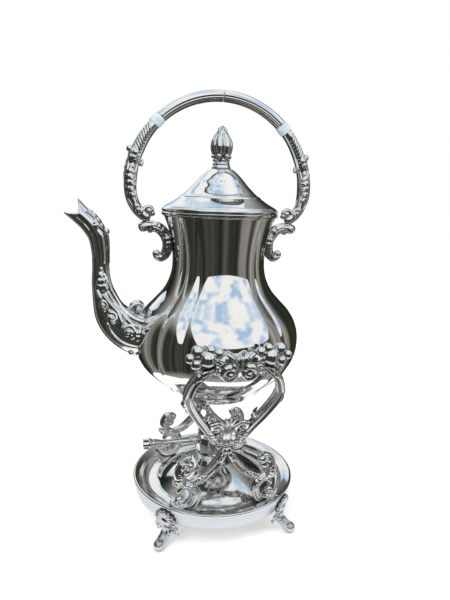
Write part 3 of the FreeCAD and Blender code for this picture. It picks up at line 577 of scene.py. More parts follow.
def make_spout():
    bar = Bar(SPOUT_LINE, SPOUT_SIZE, SPOUT_WIDTH, 90)
    forms = [spout_shell(bar)]
    for face in (1, -1):
        forms += [
            # Three swirls climb from the root, each in the hollow of a C-shaped ridge.
            bar.curl(0.185, 92 * face, 6.6, 1.9, 1.5, start=200, hand=-face),
            bar.curl(0.315, 88 * face, 5.2, 1.7, 1.4, start=20, hand=face),
            bar.curl(0.405, 74 * face, 4.4, 1.5, 1.4, start=180, hand=-face),
            bar.vine([(0.10, 62), (0.17, 54), (0.25, 56), (0.30, 66)], (1.6, 2.4, 2, 1.2), face=face),
            bar.vine([(0.25, 104), (0.33, 116), (0.40, 104), (0.46, 88)], (1.8, 2.4, 2, 1.2), face=face),
            # Long ridges sweep from the big scroll up the inner side.
            bar.vine([(0.10, 128), (0.20, 132), (0.30, 142), (0.42, 140),
                      (0.54, 128), (0.66, 118)], (2.6, 3, 2.6, 2, 1.4, 0.7), face=face),
            bar.vine([(0.14, 112), (0.22, 118), (0.30, 128), (0.38, 124),
                      (0.47, 112)], (1.4, 2, 1.8, 1.4, 0.8), face=face),
            bar.leaf(0.06, 0.20, 100 * face, 6, 2, 3, bend=-14 * face),
            bar.curl(0.07, 40 * face, 5.4, 2, 1.2, start=90, hand=face),
            bar.bead(0.115, 34 * face, 2.6, 0.2),
            # A small spray ends the relief half way up.
            bar.leaf(0.47, 0.63, 90 * face, 3.8, 1.4, 4),
            bar.vine([(0.45, 70), (0.50, 58), (0.545, 66)], (1.5, 1.5, 0.8), face=face),
            bar.vine([(0.49, 108), (0.545, 120), (0.59, 110)], (1.4, 1.5, 0.8), face=face),
            bar.bead(0.585, 90 * face, 1.5, 0.5),
            bar.bead(0.625, 92 * face, 1.1, 0.4),
            # Scrolls beside the leaf that caps the neck.
            bar.vine([(0.83, 150), (0.88, 132), (0.93, 140), (0.98, 130)], (1.3, 1.4, 1.2, 0.8), face=face),
            bar.curl(0.885, 118 * face, 2.8, 1, 1.2, start=0, hand=face),
            bar.vine([(0.70, 56), (0.80, 62), (0.90, 64), (0.99, 62)], 0.55, 0.1, 40, face=face),
        ]
    forms += [
        bar.leaf(0.825, 0.995, 180, 5, 1.7, 5),
        bar.bead(0.832, 180, 3.1, 0.5),
        bar.vine([(0.66, 180), (0.74, 180), (0.82, 180)], (0.6, 1, 1.6), 0.2),
        scroll((-77.4, 214.6), 250, 1.5, 6.4, 3, hand=-1, width=2.5),
    ]
    piece("spout_casting", together(forms), "pot", "cast_silver", ["spout"], FINE, 3)


# Lid.

LID_OUTSIDE = ((51.5, 305.85), (54.2, 305.85), (54.9, 306.6), (55.1, 307.6), (54.7, 308.6), (53.9, 309.2),
               (53.4, 309.5), (53.2, 310.1), (52.2, 310.9), (50.4, 311.9), (47, 313.8), (43.4, 316),
               (39.8, 318.4), (38.7, 319.2), (38.3, 319.9), (37.9, 320.6), (36.9, 320.9), (34.2, 322.7),
               (31.2, 325.4), (28.2, 328.4), (24.6, 332), (21.2, 336.2), (17, 340.6), (13.4, 343.7),
               (11, 345.4), (8, 345.85), (2, 345.9))
LID_INSIDE = ((2, 343.6), (10, 343.2), (19.7, 336.2), (26.8, 326.8), (31.3, 322.2), (36.4, 318.6),
              (42, 314.5), (48.5, 310.8), (51.5, 305.85))


def make_lid():
    outside = curve(LID_OUTSIDE, 110)[:, (0, 2)]
    inside = curve(LID_INSIDE, 40)[:-1, (0, 2)]
    mesh = turned(np.vstack([outside, inside]), 160, closed=True)
    piece("lid_dome", mesh, "lid", "polished_silver", ["lid"])


FINIAL_CORE = ((0.4, 345.9), (8.4, 345.9), (9, 346.9), (8.4, 348.2), (7.8, 349), (8.2, 350.2),
               (7.4, 351.6), (6, 353.4), (5.6, 354.8), (6.4, 356.4), (6.9, 360), (7.2, 365),
               (6.8, 370.5), (5.4, 375.6), (3.8, 379.4), (2.4, 381.6), (0.4, 382.4))
PETALS = 6
PETAL_LINE = ((6.2, 357.4), (7.6, 361), (8, 366), (7.6, 370.5), (5.8, 375), (3.8, 378.6),
              (2.2, 381.2))


def make_finial():
    core = curve(FINIAL_CORE, 70)[:, (0, 2)]
    forms = [turned(core, 64)]
    for number in range(PETALS):
        turn = 360 * number / PETALS
        between = turn + 180 / PETALS
        petal = Bar(PETAL_LINE, (1.5, 2.3, 2.7, 2.5, 2, 1.4, 0.9), 1.15, 44)
        spindle = Bar([(6.2, 358.6), (8.5, 364.5), (8.3, 369.5), (5.9, 376.2)], (0.9, 1.6, 1.5, 0.8), 0.9, 30)
        tip = Bar([(4.2, 375.6), (3.6, 379.6), (3, 382.2)], (1.1, 1.3, 1.1), 1, 18)
        forms += [
            spun(petal.skin(20), turn),
            spun(spindle.skin(16), between),
            spun(tip.skin(14), between),
            spun(ball((7.9, 0, 356.9), (1.9, 2.5, 1.8)), turn),
            spun(ball((7, 0, 353.6), (1.4, 1.9, 1.5)), between),
        ]
    forms.append(ball((0, 0, 382.2), (2.4, 2.4, 2.6)))
    piece("finial_bud", together(forms), "lid", "cast_silver", ["finial"], 0.0004, 1)


# Handle.

HOOP = (0, 326.5)
HOOP_REACH = 84
GRIP = 5.3
BAND = 6.5
BAND_ANGLE = 44.5
BAND_HALF = 3


def grip_shape(turn):
    """Two grooves along each face leave the double line of the moulding."""
    factor = np.ones(len(turn))
    for line in (48, 78, 282, 312):
        factor -= 0.075 * np.exp(-(((turn - line + 180) % 360 - 180) / 7) ** 2)
    return factor


def squeezed(bar, radius, sizes, factor):
    """A bar whose ring at each place is scaled by a size, and all round by the factor at each turn."""
    turn = np.linspace(0, 360, len(factor), endpoint=False)
    rings = []
    for place, size in sizes:
        middle = bar.at(place, 0, -radius)
        rings.append(middle + (bar.at(place, turn) - middle) * (factor * size)[:, None])
    return rings_to_mesh(rings)


def make_grips():
    right = Bar(arc(HOOP, HOOP_REACH, BAND_ANGLE + BAND_HALF, 89.7, 24), GRIP, 1, 72)
    inset = 0.006
    edge = [(0, 0.86), (inset * 0.4, 0.97), (inset, 1)]
    far_edge = [(1 - place, size) for place, size in edge[::-1]]
    sizes = edge + [(place, 1) for place in np.linspace(0.02, 0.98, 60)] + far_edge
    mesh = squeezed(right, GRIP, sizes, grip_shape(np.linspace(0, 360, 72, endpoint=False)))
    right_and_left("grip", mesh, "polished_silver", "grip")


def make_bands():
    band = Bar(arc(HOOP, HOOP_REACH, BAND_ANGLE - BAND_HALF, BAND_ANGLE + BAND_HALF, 8), BAND, 1, 24)
    angle = np.radians(np.linspace(0, 360, 64, endpoint=False))
    # Between a circle and a square with soft corners, as a moulded collar is.
    square = (np.abs(np.cos(angle)) ** 5 + np.abs(np.sin(angle)) ** 5) ** -0.2
    factor = 0.55 + 0.45 * square
    sizes = ((0, 0.88), (0.03, 0.96), (0.09, 1), (0.5, 1.012), (0.91, 1), (0.97, 0.96), (1, 0.88))
    mesh = squeezed(band, BAND, sizes, factor / factor.max())
    right_and_left("band", mesh, "insulator", "insulator")


def make_arms():
    hoop_end = arc(HOOP, HOOP_REACH, BAND_ANGLE - BAND_HALF, 0, 9)
    line = np.vstack([hoop_end, arc((58, 326.5), (26, 30), -14, -62, 6)])
    bar = Bar(line, (5.2, 5.5, 5.9, 5.4, 5.8, 5.6, 5.2, 4.6), 1, 90)
    forms = [bar.skin(36)]
    for face in (1, -1):
        for step in range(8):
            start = 0.02 + 0.034 * step
            forms.append(bar.vine([(start, 40), (start + 0.03, 74), (start + 0.075, 112)],
                                  (0.5, 1.05, 0.6), face=face))
        forms += [
            bar.leaf(0.27, 0.44, 60 * face, 4.6, 1.5, 3),
            bar.leaf(0.44, 0.80, 84 * face, 4.4, 1.5, 6),
            bar.vine([(0.38, 30), (0.5, 44), (0.65, 36), (0.84, 60)], (0.8, 1.1, 1, 0.7), face=face),
            bar.vine([(0.40, 140), (0.52, 132), (0.68, 140), (0.84, 124)], (0.7, 1, 1, 0.7), face=face),
            bar.curl(0.90, 96 * face, 4, 1.3, 1.3, start=180, hand=-face),
        ]
        for step in range(6):
            forms.append(bar.bead(0.47 + 0.055 * step, (96 + 10 * (step % 2)) * face, 1.25, 0.5))
    forms += [
        bar.bead(0.315, 0, 3.1, 0.9),
        bar.curl(0.33, 0, 3, 1.3, 1, start=0),
        bar.vine([(0.42, 180), (0.39, 180), (0.365, 180)], (1.9, 1.5, 0.6), 1.8),
        bar.leaf(0.36, 0.60, 0, 4, 1.4, 4),
        scroll((67.2, 305.6), 300, 1.4, 5, 2.3, hand=1, width=1.8),
        ball((64.2, 0, 303.4), (2.8, 3.8, 2.8)),
    ]
    mesh = together(forms)
    right_and_left("arm", mesh, "cast_silver", "arm", FINE)


BRACKET_LINE = ((72, 291.6), (63.6, 292), (55.4, 288.2), (50, 279.4), (50.2, 269.4), (55, 262.8),
                (59.6, 263.8))


def make_brackets():
    bar = Bar(BRACKET_LINE, (4.4, 4.9, 5.2, 5.2, 5, 4.6, 3.4), 1, 90)
    forms = [bar.skin(36)]
    for face in (1, -1):
        forms += [
            bar.leaf(0.10, 0.44, 90 * face, 4.4, 1.5, 4),
            bar.leaf(0.42, 0.80, 90 * face, 4, 1.4, 4),
            bar.vine([(0.06, 40), (0.22, 52), (0.42, 46), (0.62, 50), (0.86, 44)],
                     (1, 1.2, 1, 1.1, 0.8), face=face),
            bar.vine([(0.06, 140), (0.22, 132), (0.42, 138), (0.62, 132),
                      (0.86, 140)], (1, 1.2, 1, 1.1, 0.8), face=face),
        ]
    forms += [
        ball((72.2, 0, 291), (4.7, 5.2, 4.6)),
        scroll((72.2, 291), 60, 1.1, 3.9, 1.3, hand=-1, width=4.2),
        ball((66, 0, 287.6), (2.6, 4.4, 2.2)),
        scroll((59.6, 266.6), 250, 1.2, 3.4, 1.6, hand=1, width=2.6),
        ball((60, 0, 266.8), (2.9, 4.6, 2.8)),
    ]
    mesh = together(forms)
    right_and_left("bracket", mesh, "cast_silver", "bracket", FINE)


# Lyre frames.

LEAN = math.radians(21)
WAIST = (52, 93)
LEG_DEPTH = 54
WELL_TOP = 31.1


def leaned(mesh):
    """Stands a form drawn flat, with z up from the waist, on the front frame's leaning plane."""
    points, faces = mesh
    c, s = math.cos(LEAN), math.sin(LEAN)
    y = -WAIST[0] + points[:, 1] * c - points[:, 2] * s
    z = WAIST[1] + points[:, 1] * s + points[:, 2] * c
    return np.stack([points[:, 0], y, z], axis=1), faces


def front_and_back(name, mesh, ease=2, pair=False):
    """A casting of the front frame and its twin on the back frame. A pair has one on each side of both."""
    castings = [("front_" + name, mesh), ("back_" + name, half_turn(mesh))]
    if pair:
        other = flipped(mesh)
        castings = [("front_right_" + name, mesh), ("front_left_" + name, other),
                    ("back_left_" + name, half_turn(mesh)), ("back_right_" + name, half_turn(other))]
    for node, form in castings:
        piece(node + "_casting", form, "stand", "cast_silver", [node], FINE, ease)


def groove_shape(turn):
    """A hollow along the front and the back leaves a ridge on each side."""
    factor = np.ones(len(turn))
    for line in (90, 270):
        factor -= 0.32 * np.exp(-(((turn - line + 180) % 360 - 180) / 24) ** 2)
    return factor


RAIL_LINE = ((11.5, 4.5), (14.5, 10), (18.2, 17.5), (23.4, 26.5), (29, 35.2), (34, 44.2), (38.6, 53.6))


def make_rails():
    line = np.vstack([RAIL_LINE, arc((16, 62), (25.5, 31), 4, 82, 9)])
    bar = Bar(line, (3.5, 4, 4.2, 4.3, 4.3, 4.2, 4, 3.4), 1, 90)
    forms = [bar.skin(40, groove_shape)]
    for face in (1, -1):
        for edge in (52, 128):
            forms.append(bar.vine([(0.02, edge), (0.35, edge), (0.7, edge), (0.98, edge)],
                                  (0.9, 1.15, 1.15, 0.9), 0.1, 70, face=face))
        forms += [
            bar.leaf(0.48, 0.63, 160 * face, 3.4, 1.3, 3),
            bar.leaf(0.78, 0.97, 120 * face, 3, 1.2, 3),
            bar.leaf(0.03, 0.17, 60 * face, 2.8, 1.1, 3),
        ]
    spur = Bar([(40.4, 49.5), (43.8, 52.5), (45.8, 56.5), (45.2, 60)], (1.9, 2, 1.5, 0.6), 1.3, 24)
    low_spur = Bar([(38.6, 45), (41.4, 46.6), (42.8, 49.4)], (1.6, 1.4, 0.6), 1.2, 18)
    horn = Bar([(25.4, 33), (22.6, 36.4), (21.6, 41), (23.6, 45.6)], (2.2, 2.2, 1.7, 0.6), 1.2, 24)
    knob = ball((20.6, 0, 35.4), (2, 2.4, 2))
    forms += [spur.skin(16), low_spur.skin(16), horn.skin(16), knob]
    front_and_back("rail", leaned(together(forms)), pair=True)


LEG_LINE = ((2.2, 88.5), (7, 79.8), (13.3, 71.6), (21.5, 64), (28.5, 60), (34, 58.6))


def make_legs():
    bar = Bar([(x, -LEG_DEPTH, z) for x, z in LEG_LINE], (3.3, 3.9, 4.1, 4, 3.4), 1, 70)
    forms = [bar.skin(36, groove_shape)]
    for face in (1, -1):
        for edge in (50, 130):
            forms.append(bar.vine([(0.03, edge), (0.5, edge), (0.97, edge)], 1, 0.1, 50, face=face))
        forms.append(bar.leaf(0.60, 0.95, 90 * face, 3.2, 1.3, 4))
        forms.append(bar.leaf(0.03, 0.28, 90 * face, 2.6, 1.1, 3))
    front_and_back("leg", together(forms), pair=True)


def make_foot_scrolls():
    y = -LEG_DEPTH

    def flat(points):
        return [(x, y, z) for x, z in points]

    crescent = flat(arc((41, 46), 12, 66, 342, 20))
    lower = Bar(crescent, (2.2, 4.2, 5.3, 5.7, 5.6, 5.4, 4.8, 3.4, 0.8), 1, 90)
    upper = Bar(flat(arc((38, 68), (6.3, 9.4), -78, 112, 12)), (4.6, 5.2, 5.2, 4.8, 4.2), 1, 60)
    forms = [lower.skin(36), upper.skin(32)]
    for face in (1, -1):
        forms += [
            upper.leaf(0.02, 0.52, 96 * face, 4.2, 1.6, 4),
            upper.vine([(0.10, 56), (0.40, 62), (0.72, 54)], (0.9, 1.2, 0.8), face=face),
            upper.curl(0.86, 90 * face, 3.2, 1.2, 1.2, start=180, hand=-face),
            lower.leaf(0.06, 0.36, 84 * face, 3.6, 1.3, 4),
            lower.vine([(0.36, 62), (0.55, 58), (0.76, 62), (0.95, 80)], (0.8, 1.1, 1, 0.6), face=face),
            lower.vine([(0.36, 118), (0.55, 122), (0.76, 118), (0.95, 100)], (0.8, 1.1, 1, 0.6), face=face),
        ]
    horn = Bar(flat([(45, 57.4), (48.6, 59.6), (50.2, 63)]), (2.8, 2.2, 0.7), 1.2, 20)
    tongue_line = flat([(38.6, 56), (42.4, 53.6), (44.6, 50), (43.4, 46.6)])
    tongue = Bar(tongue_line, (2.8, 2.8, 2.3, 1.4), 1.3, 26)
    forms += [
        horn.skin(16),
        tongue.skin(18),
        scroll((43.4, 41.4), 250, 1.25, 4.4, 2.1, hand=1, width=1.6, plane_y=y),
        scroll((36.6, 75.4), 90, 1.2, 3.6, 2.2, hand=1, width=1.9, plane_y=y),
        ball((35, y, 76.2), (4.4, 5, 4.2)),
        ball((41.6, y, 76.6), (4.6, 5, 4.4)),
        ball((37.6, y, 70.6), (5, 4.4, 5.2)),
    ]
    points, faces = together(forms)
    points = points.copy()
    points[:, 2] = np.maximum(points[:, 2], WELL_TOP)
    front_and_back("foot_scroll", (points, faces), pair=True)


def make_palmette():
    strap_line = [(0, 1, -4), (0, 1.4, 4), (0, 1.6, 14), (0, 1, 25)]
    strap = Bar(strap_line, (3.4, 4.4, 4.6, 5.4), 0.42, 40)
    forms = [strap.skin(32, lambda turn: 1 - 0.34 * np.exp(-((turn - 90) / 34) ** 2))]
    for lobe in (-46, -23, 0, 23, 46):
        turn = math.radians(lobe)
        s, c = math.sin(turn), math.cos(turn)
        stem = [(r * s, -0.8 - 0.10 * r, 22.5 + 1.08 * r * c) for r in (0, 4, 8, 12)]
        forms.append(free_tube(curve(stem, 20), np.linspace(0.8, 1.55, 20)))
    forms.append(ball((0, -0.2, 27.5), (7, 1.7, 6.4)))
    for side in (-1, 1):
        ring = [(side * (12.2 + 5.8 * math.cos(a)), -1, 19.4 + 9.6 * math.sin(a))
                for a in np.radians(np.linspace(200, -128, 26))]
        forms += [
            free_tube(curve(ring, 70), spread((1.4, 2.2, 2.5, 2.3, 1.9, 1.5), 70)),
            scroll((side * 13, 21.4), 240, 1.3, 4.6, 1.9, hand=side, width=1.5, plane_y=-0.6),
            scroll((side * 9.6, 11.4), 90, 1.1, 3, 1.6, hand=-side, width=1.6, plane_y=-0.8),
            ball((side * 17, -0.8, 27.4), (2.6, 2.6, 2.6)),
            scroll((side * 6.2, -1.2), 80, 1.4, 3.8, 1.8, hand=side, width=1.5, plane_y=-0.6),
            ball((side * 8.6, -1, 3.6), (2.2, 2.4, 2.2)),
        ]
    drop = Bar([(0, -3), (0, -6.4), (0, -9.4)], (3, 2.6, 1), 1.1, 20)
    forms += [drop.skin(18), ball((0, -2, 1.2), (2.8, 2.2, 2.4))]
    front_and_back("palmette", leaned(together(forms)))


def make_crest():
    forms = []
    for side in (-1, 1):
        wing = Bar([(side * 0.6, 0.4, 92), (side * 3.4, 0.2, 97.6), (side * 8, 0.2, 101),
                    (side * 13.6, 0.2, 100.8), (side * 18.6, 0.4, 97.6), (side * 21.4, 0.6, 93.4)],
                   (3.2, 4.8, 5.8, 5.4, 4.4, 3), 0.7, 60)
        forms.append(wing.skin(30))
        for step in range(3):
            along = 0.20 + 0.24 * step
            for face in (1, -1):
                stops = [(along - 0.07, 90 * face), (along, (90 - 48 * side) * face),
                         (along + 0.09, (90 - 86 * side) * face)]
                forms.append(wing.vine(stops, (0.8, 1.6, 1.2)))
        forms += [
            scroll((side * 8.2, 89.4), 100, 1.6, 7.6, 3, hand=-side, width=1.5, plane_y=-2.4),
            scroll((side * 17.4, 92), 120, 1.2, 4.4, 2.2, hand=-side, width=1.3, plane_y=-1.4),
        ]
    bud_line = [(0, -2, 86), (0, -2.4, 92), (0, -2.6, 98), (0, -2, 104)]
    bridge_line = [(-19, 91.6), (-10, 93.6), (0, 94), (10, 93.6), (19, 91.6)]
    bridge = Bar(bridge_line, (3, 3.2, 3.2, 3.2, 3), 0.8, 40)
    forms += [Bar(bud_line, (2, 3, 2.8, 1.2), 1.1, 24).skin(18), bridge.skin(24)]
    front_and_back("crest", leaned(together(forms)))


BERRIES = ((27.2, 189.2, 7.7), (36, 195.4, 5.7), (36.8, 185.2, 5.2), (25, 196.4, 4.7), (18, 193.6, 4.4),
           (42.4, 190.2, 4.2), (19.6, 187.4, 3.6))
GRAPE_FACE = 94.2
GRAPE_BACK = 84.5


def make_grapes():
    forms = []
    for side in (-1, 1):
        for number, (x, z, radius) in enumerate(BERRIES):
            depth = GRAPE_FACE - radius - (3 if number else 0)
            forms.append(ball((side * x, -depth, z), radius, rows=18, sides=28))
        back = Bar([(side * 19, -86.6, 191), (side * 30, -86.6, 190), (side * 41, -86.6, 190)],
                   (2.6, 4.6, 3.2), 0.4, 30)
        forms.append(back.skin(20))
    points, faces = together(forms)
    points = points.copy()
    points[:, 1] = np.minimum(points[:, 1], -GRAPE_BACK)
    front_and_back("grapes", (points, faces), ease=1)


# Tray and feet.

TRAY_PROFILE = ((0.5, 52), (15, 52), (20.6, 52), (22, 51.8), (22.8, 51.2), (23.6, 50.9),
                (25.4, 50.2), (31, 48.1), (38, 44.8), (45, 40.8), (52, 36), (55.6, 33),
                (58.6, 31.3), (61.6, 31), (65, 31), (67.6, 31.4), (70, 33.4), (71.2, 35.4),
                (72, 36.2), (73.2, 36.6), (76.6, 38.2), (79.6, 39.4), (80.6, 39.7), (81.6, 39.7),
                (82.3, 39.2), (82.5, 38.4), (82.2, 37.4), (81.9, 35), (80.9, 30), (80.1, 26.4),
                (79.6, 24.6), (79.2, 24.05), (78.4, 24.05), (78, 24.6), (78.6, 30), (79.6, 36.6),
                (76, 35.6), (72.4, 33.8), (69.2, 29.6), (62, 29.4), (57, 29.6), (51, 34.2),
                (44, 39), (37, 43), (30, 46.3), (23, 49), (16, 50), (0.5, 50))


def make_tray():
    line = curve(TRAY_PROFILE, 240)[:, (0, 2)]
    mesh = turned(line, 192)
    piece("tray_dish", mesh, "stand", "tray_silver", ["tray"])


def make_feet():
    neck_line = [(79.4, 24), (78.6, 17.5), (80.2, 11.5), (84.6, 7.2), (90, 5.2)]
    neck = Bar(neck_line, (3.8, 3.9, 4, 4.4, 4.8), 1, 60)
    forms = [neck.skin(30), ball((90.6, 0, 5.2), (5.5, 5.3, 5.2))]
    for face in (1, -1):
        forms += [
            neck.vine([(0.1, 60), (0.5, 50), (0.95, 60)], (0.9, 1, 0.7), face=face),
            neck.leaf(0.30, 0.75, 100 * face, 3, 1.2, 3),
        ]
    forms.append(neck.vine([(0.05, 0), (0.5, 0), (0.9, 0)], (1.1, 1.2, 0.7)))

    def on_wall(sideways, z, out):
        reach = 79.5 + 3 * (z - 24) / 14.6 + out
        return (math.sqrt(max(reach ** 2 - sideways ** 2, 0)), sideways, z)

    ribs = 9
    for number in range(ribs):
        angle = math.radians(-112 + 224 * number / (ribs - 1))
        s, c = math.sin(angle), math.cos(angle)
        stem = [on_wall(r * s * 1.12, 26.4 + r * c, 1.9 - 0.02 * r) for r in (1, 5, 8.4)]
        forms.append(free_tube(curve(stem, 16), np.linspace(1.2, 2.15, 16)))
    for side in (-1, 1):
        for middle_t, middle_z, reach in ((8.6, 16.6, 4.2), (5.2, 22.4, 3.2)):
            angle = np.radians(90 + 30 * side) - side * np.linspace(0, 2 * np.pi * 1.3, 34)
            shrink = np.linspace(1, 0.15, 34)
            across = side * middle_t + reach * shrink * np.cos(angle)
            up = middle_z + reach * shrink * np.sin(angle)
            path = [on_wall(a, z, 1.6) for a, z in zip(across, up)]
            forms.append(free_tube(path, np.linspace(1.6, 1.2, 34)))
            forms.append(ball(on_wall(side * middle_t, middle_z, 1.8), 1.9))
        forms.append(ball(on_wall(side * 10.8, 12.2, 0.8), (1.8, 2.2, 2)))
    forms.append(ball(on_wall(0, 24.6, 1.6), (3.6, 6, 6)))
    forms.append(ball(on_wall(0, 23, 0.8), (2.2, 8.8, 7.8)))
    mesh = together(forms)
    for number, name in enumerate(("back_right", "back_left", "front_left", "front_right")):
        node = name + "_foot"
        foot = spun(mesh, 45 + 90 * number)
        piece(node + "_casting", foot, "stand", "cast_silver", [node], FINE, look=SHADED_FOOT_SILVER, floor=True)


# Burner.

TRUMPET_HEIGHT = 73.5


def make_burner_handle():
    line = [(x, TRUMPET_HEIGHT) for x in (-17.4, -24, -36, -48, -60, -66, -69.5, -71.4, -73)]
    bar = Bar(line, (5, 4.5, 3.7, 3, 2.4, 2.6, 3.9, 5, 5.4), 1, 120)
    forms = [bar.skin(48, None, False)]
    for along, thick in ((0.87, 0.9), (0.80, 0.55), (0.12, 0.8)):
        ring = bar.at(along, np.linspace(0, 360, 49))
        forms.append(free_tube(ring, np.full(49, thick)))
    piece("burner_trumpet", together(forms), "burner", "polished_silver", ["burner_handle"], FINE, 2)


for make in (make_pot, make_spout, make_lid, make_finial, make_grips, make_bands, make_arms, make_brackets,
             make_rails, make_legs, make_foot_scrolls, make_palmette, make_crest, make_grapes, make_tray,
             make_feet, make_burner_handle):
    make()


# Camera.

def place_camera():
    pitch, roll, pan, yaw = 0.198, 0.0319, 0.0158, math.radians(13.6)
    ahead = np.array((math.sin(pan), math.cos(pan), 0))
    right = np.array((math.cos(pan), -math.sin(pan), 0))
    up = np.array((0, 0, 1.0))
    forward = math.cos(pitch) * ahead - math.sin(pitch) * up
    above = math.sin(pitch) * ahead + math.cos(pitch) * up
    right_seen = math.cos(roll) * right + math.sin(roll) * above
    up_seen = -math.sin(roll) * right + math.cos(roll) * above

    def turned_in(v):
        c, s = math.cos(yaw), math.sin(yaw)
        return Vector((c * v[0] + s * v[1], -s * v[0] + c * v[1], v[2]))

    place = turned_in((0, -0.48294, 0.317735)) + Vector((AXIS, 0, 0))
    axes = Matrix((turned_in(right_seen), turned_in(up_seen), -turned_in(forward)))
    matrix = axes.transposed().to_4x4()
    matrix.translation = place
    data = bpy.data.cameras.new("camera")
    data.lens = 29.95
    data.sensor_width = 36
    camera = bpy.data.objects.new("camera", data)
    bpy.context.scene.collection.objects.link(camera)
    camera.matrix_world = matrix
    bpy.context.scene.camera = camera


# Floor, light and dark cards.

FLOOR_SIZE = 6.0
FLOOR_LIFT = 0.24
WORLD_LIGHT = 0.8
CLOTH_REACH = 1.7
SKY_AZIMUTH = 282
SKY_REACH = 3.4
TABLE_REACH = 0.172
TABLE_SHIFT = 0.045
CLOTH_LIFT = 0.004


def plane_mesh(name, points, faces, material):
    data = bpy.data.meshes.new(name)
    data.from_pydata(points, [], faces)
    data.materials.append(material)
    obj = bpy.data.objects.new(name, data)
    bpy.context.scene.collection.objects.link(obj)
    return obj


def seen_directly(wiring):
    """1 for what the camera sees, directly, in a reflection or through glass, and 0 for what only lights."""
    camera, glossy, through = (wiring.add("LightPath", {}, "Is %s Ray" % kind)
                               for kind in ("Camera", "Glossy", "Transmission"))
    return wiring.math("MAXIMUM", wiring.math("MAXIMUM", camera, glossy), through)


def white_floor(wiring):
    lift = wiring.math("MULTIPLY", seen_directly(wiring), FLOOR_LIFT)
    return {"Roughness": 1.0, "Specular IOR Level": 0.0, "Base Color": grey(0.95),
            "Emission Color": grey(1.0), "Emission Strength": lift}


def make_floor():
    """A white floor that keeps the soft shadow."""
    corners = [(x * FLOOR_SIZE, y * FLOOR_SIZE, 0) for x, y in ((-1, -1), (1, -1), (1, 1), (-1, 1))]
    plane_mesh("floor", corners, [(0, 1, 2, 3)], coated("floor_white", white_floor))


def reflected_only(obj):
    for sort in ("camera", "diffuse", "shadow", "transmission", "volume_scatter"):
        setattr(obj, "visible_" + sort, False)


def glowing(name, colour_of):
    """A material that only glows, in the colour that colour_of(wiring) gives."""
    material = bpy.data.materials.new(name)
    material.use_nodes = True
    wiring = Wiring(material.node_tree)
    glow = wiring.add("Emission", {"Color": colour_of(wiring)}, "Emission")
    material.node_tree.nodes.remove(material.node_tree.nodes["Principled BSDF"])
    wiring.feed(material.node_tree.nodes["Material Output"].inputs["Surface"], glow)
    return material


def cloth(wiring):
    """Dark, in streaks that run away from the pot: greyer close to the pot and paler high up."""
    flat, reach, height = wiring.from_axis(wiring.place())
    streaks = wiring.noise(wiring.vector("NORMALIZE", "Vector", flat), 1.7, 2.0)
    colour = wiring.ramp(streaks, (0.36, (0.014, 0.017, 0.012, 1)), (0.50, (0.060, 0.064, 0.052, 1)),
                         (0.58, (0.20, 0.19, 0.17, 1)), (0.68, (0.40, 0.39, 0.38, 1)))
    close = wiring.level(reach, 0.24, 0.14, "SMOOTHSTEP")
    colour = wiring.mix("RGBA", close, colour, (0.34, 0.35, 0.37, 1))
    high = wiring.level(height, 0.8, 2.4, "SMOOTHSTEP")
    return wiring.mix("RGBA", high, colour, (0.46, 0.47, 0.48, 1))


def clouds(wiring):
    """Pale blue with soft white clouds."""
    puffs = wiring.noise(wiring.place(), 0.75, 4.0)
    return wiring.ramp(puffs, (0.40, (0.44, 0.62, 0.86, 1)), (0.47, (0.72, 0.83, 0.94, 1)), (0.54, grey(1.0)))


def ring_card(name, edges, material, steps=120):
    """A card all round the pot, between the two edge points that edges(angle) gives."""
    points, faces = [], []
    for k in range(steps):
        points += edges(2 * math.pi * k / steps)
        a, b = 2 * k, 2 * ((k + 1) % steps)
        faces.append((a, b, b + 1, a + 1))
    reflected_only(plane_mesh(name, points, faces, material))


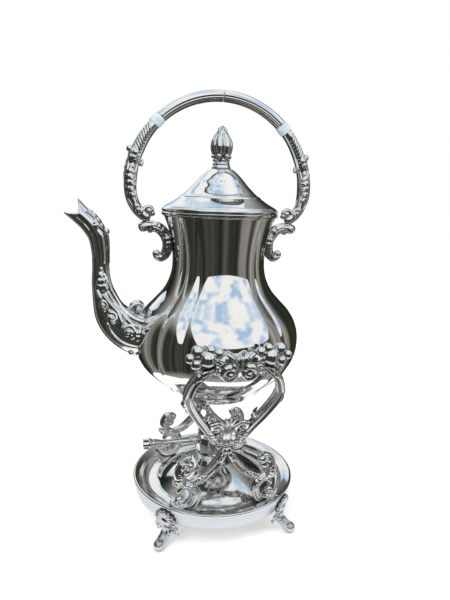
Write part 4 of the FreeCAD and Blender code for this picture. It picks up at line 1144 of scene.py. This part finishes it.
def wall_edges(angle):
    """Low in front of the pot and behind it, where the sky light comes in, and tall on the other sides."""
    off = abs((math.degrees(angle) - SKY_AZIMUTH + 180) % 360 - 180)
    top = float(np.interp(off, (0, 58, 84, 110, 140, 160, 180), (0.46, 0.56, 1.6, 2.7, 2.2, 0.62, 0.5)))
    x, y = AXIS + CLOTH_REACH * math.cos(angle), CLOTH_REACH * math.sin(angle)
    return [(x, y, 0.0), (x, y, top)]


def ground_edges(angle):
    side, back = math.cos(angle), math.sin(angle)
    return [(AXIS + TABLE_REACH * side, TABLE_SHIFT + TABLE_REACH * back, CLOTH_LIFT),
            (AXIS + CLOTH_REACH * side, CLOTH_REACH * back, CLOTH_LIFT)]


def make_cards():
    """Dark cloths and a clouded card that only reflections see."""
    dark = glowing("dark_cloth", cloth)
    ring_card("cloth_wall", wall_edges, dark)
    points, faces = ball((AXIS_X, 0, 0), 1000 * SKY_REACH, rows=24, sides=60)
    reflected_only(plane_mesh("cloud_dome", points / 1000, faces, glowing("cloud_card", clouds)))
    ring_card("cloth_ground", ground_edges, dark)


def add_lamp(name, place, target, size, power, colour):
    data = bpy.data.lights.new(name, "AREA")
    data.shape = "RECTANGLE"
    data.size, data.size_y = size
    data.energy = power
    data.color = colour
    lamp = bpy.data.objects.new(name, data)
    lamp.visible_glossy = False
    bpy.context.scene.collection.objects.link(lamp)
    lamp.location = place
    aim = Vector(target) - Vector(place)
    lamp.rotation_euler = aim.to_track_quat("-Z", "Y").to_euler()


def make_light():
    world = bpy.data.worlds.new("studio")
    bpy.context.scene.world = world
    world.use_nodes = True
    wiring = Wiring(world.node_tree)
    sky = world.node_tree.nodes["Background"]
    sky.inputs["Color"].default_value = grey(1.0)
    fed = {"Value": seen_directly(wiring), "To Min": WORLD_LIGHT, "To Max": 1.0}
    wiring.feed(sky.inputs["Strength"], wiring.add("MapRange", fed, "Result"))
    add_lamp("key", (-0.9, -1.0, 1.5), (0, 0, 0.15), (0.9, 0.9), 16, (1.0, 0.985, 0.96))
    add_lamp("fill", (1.2, -0.5, 1.0), (0, 0, 0.2), (0.6, 1.0), 6, (0.96, 0.98, 1.0))


make_floor()
make_cards()
make_light()
place_camera()
bpy.context.scene.view_settings.view_transform = "Standard"
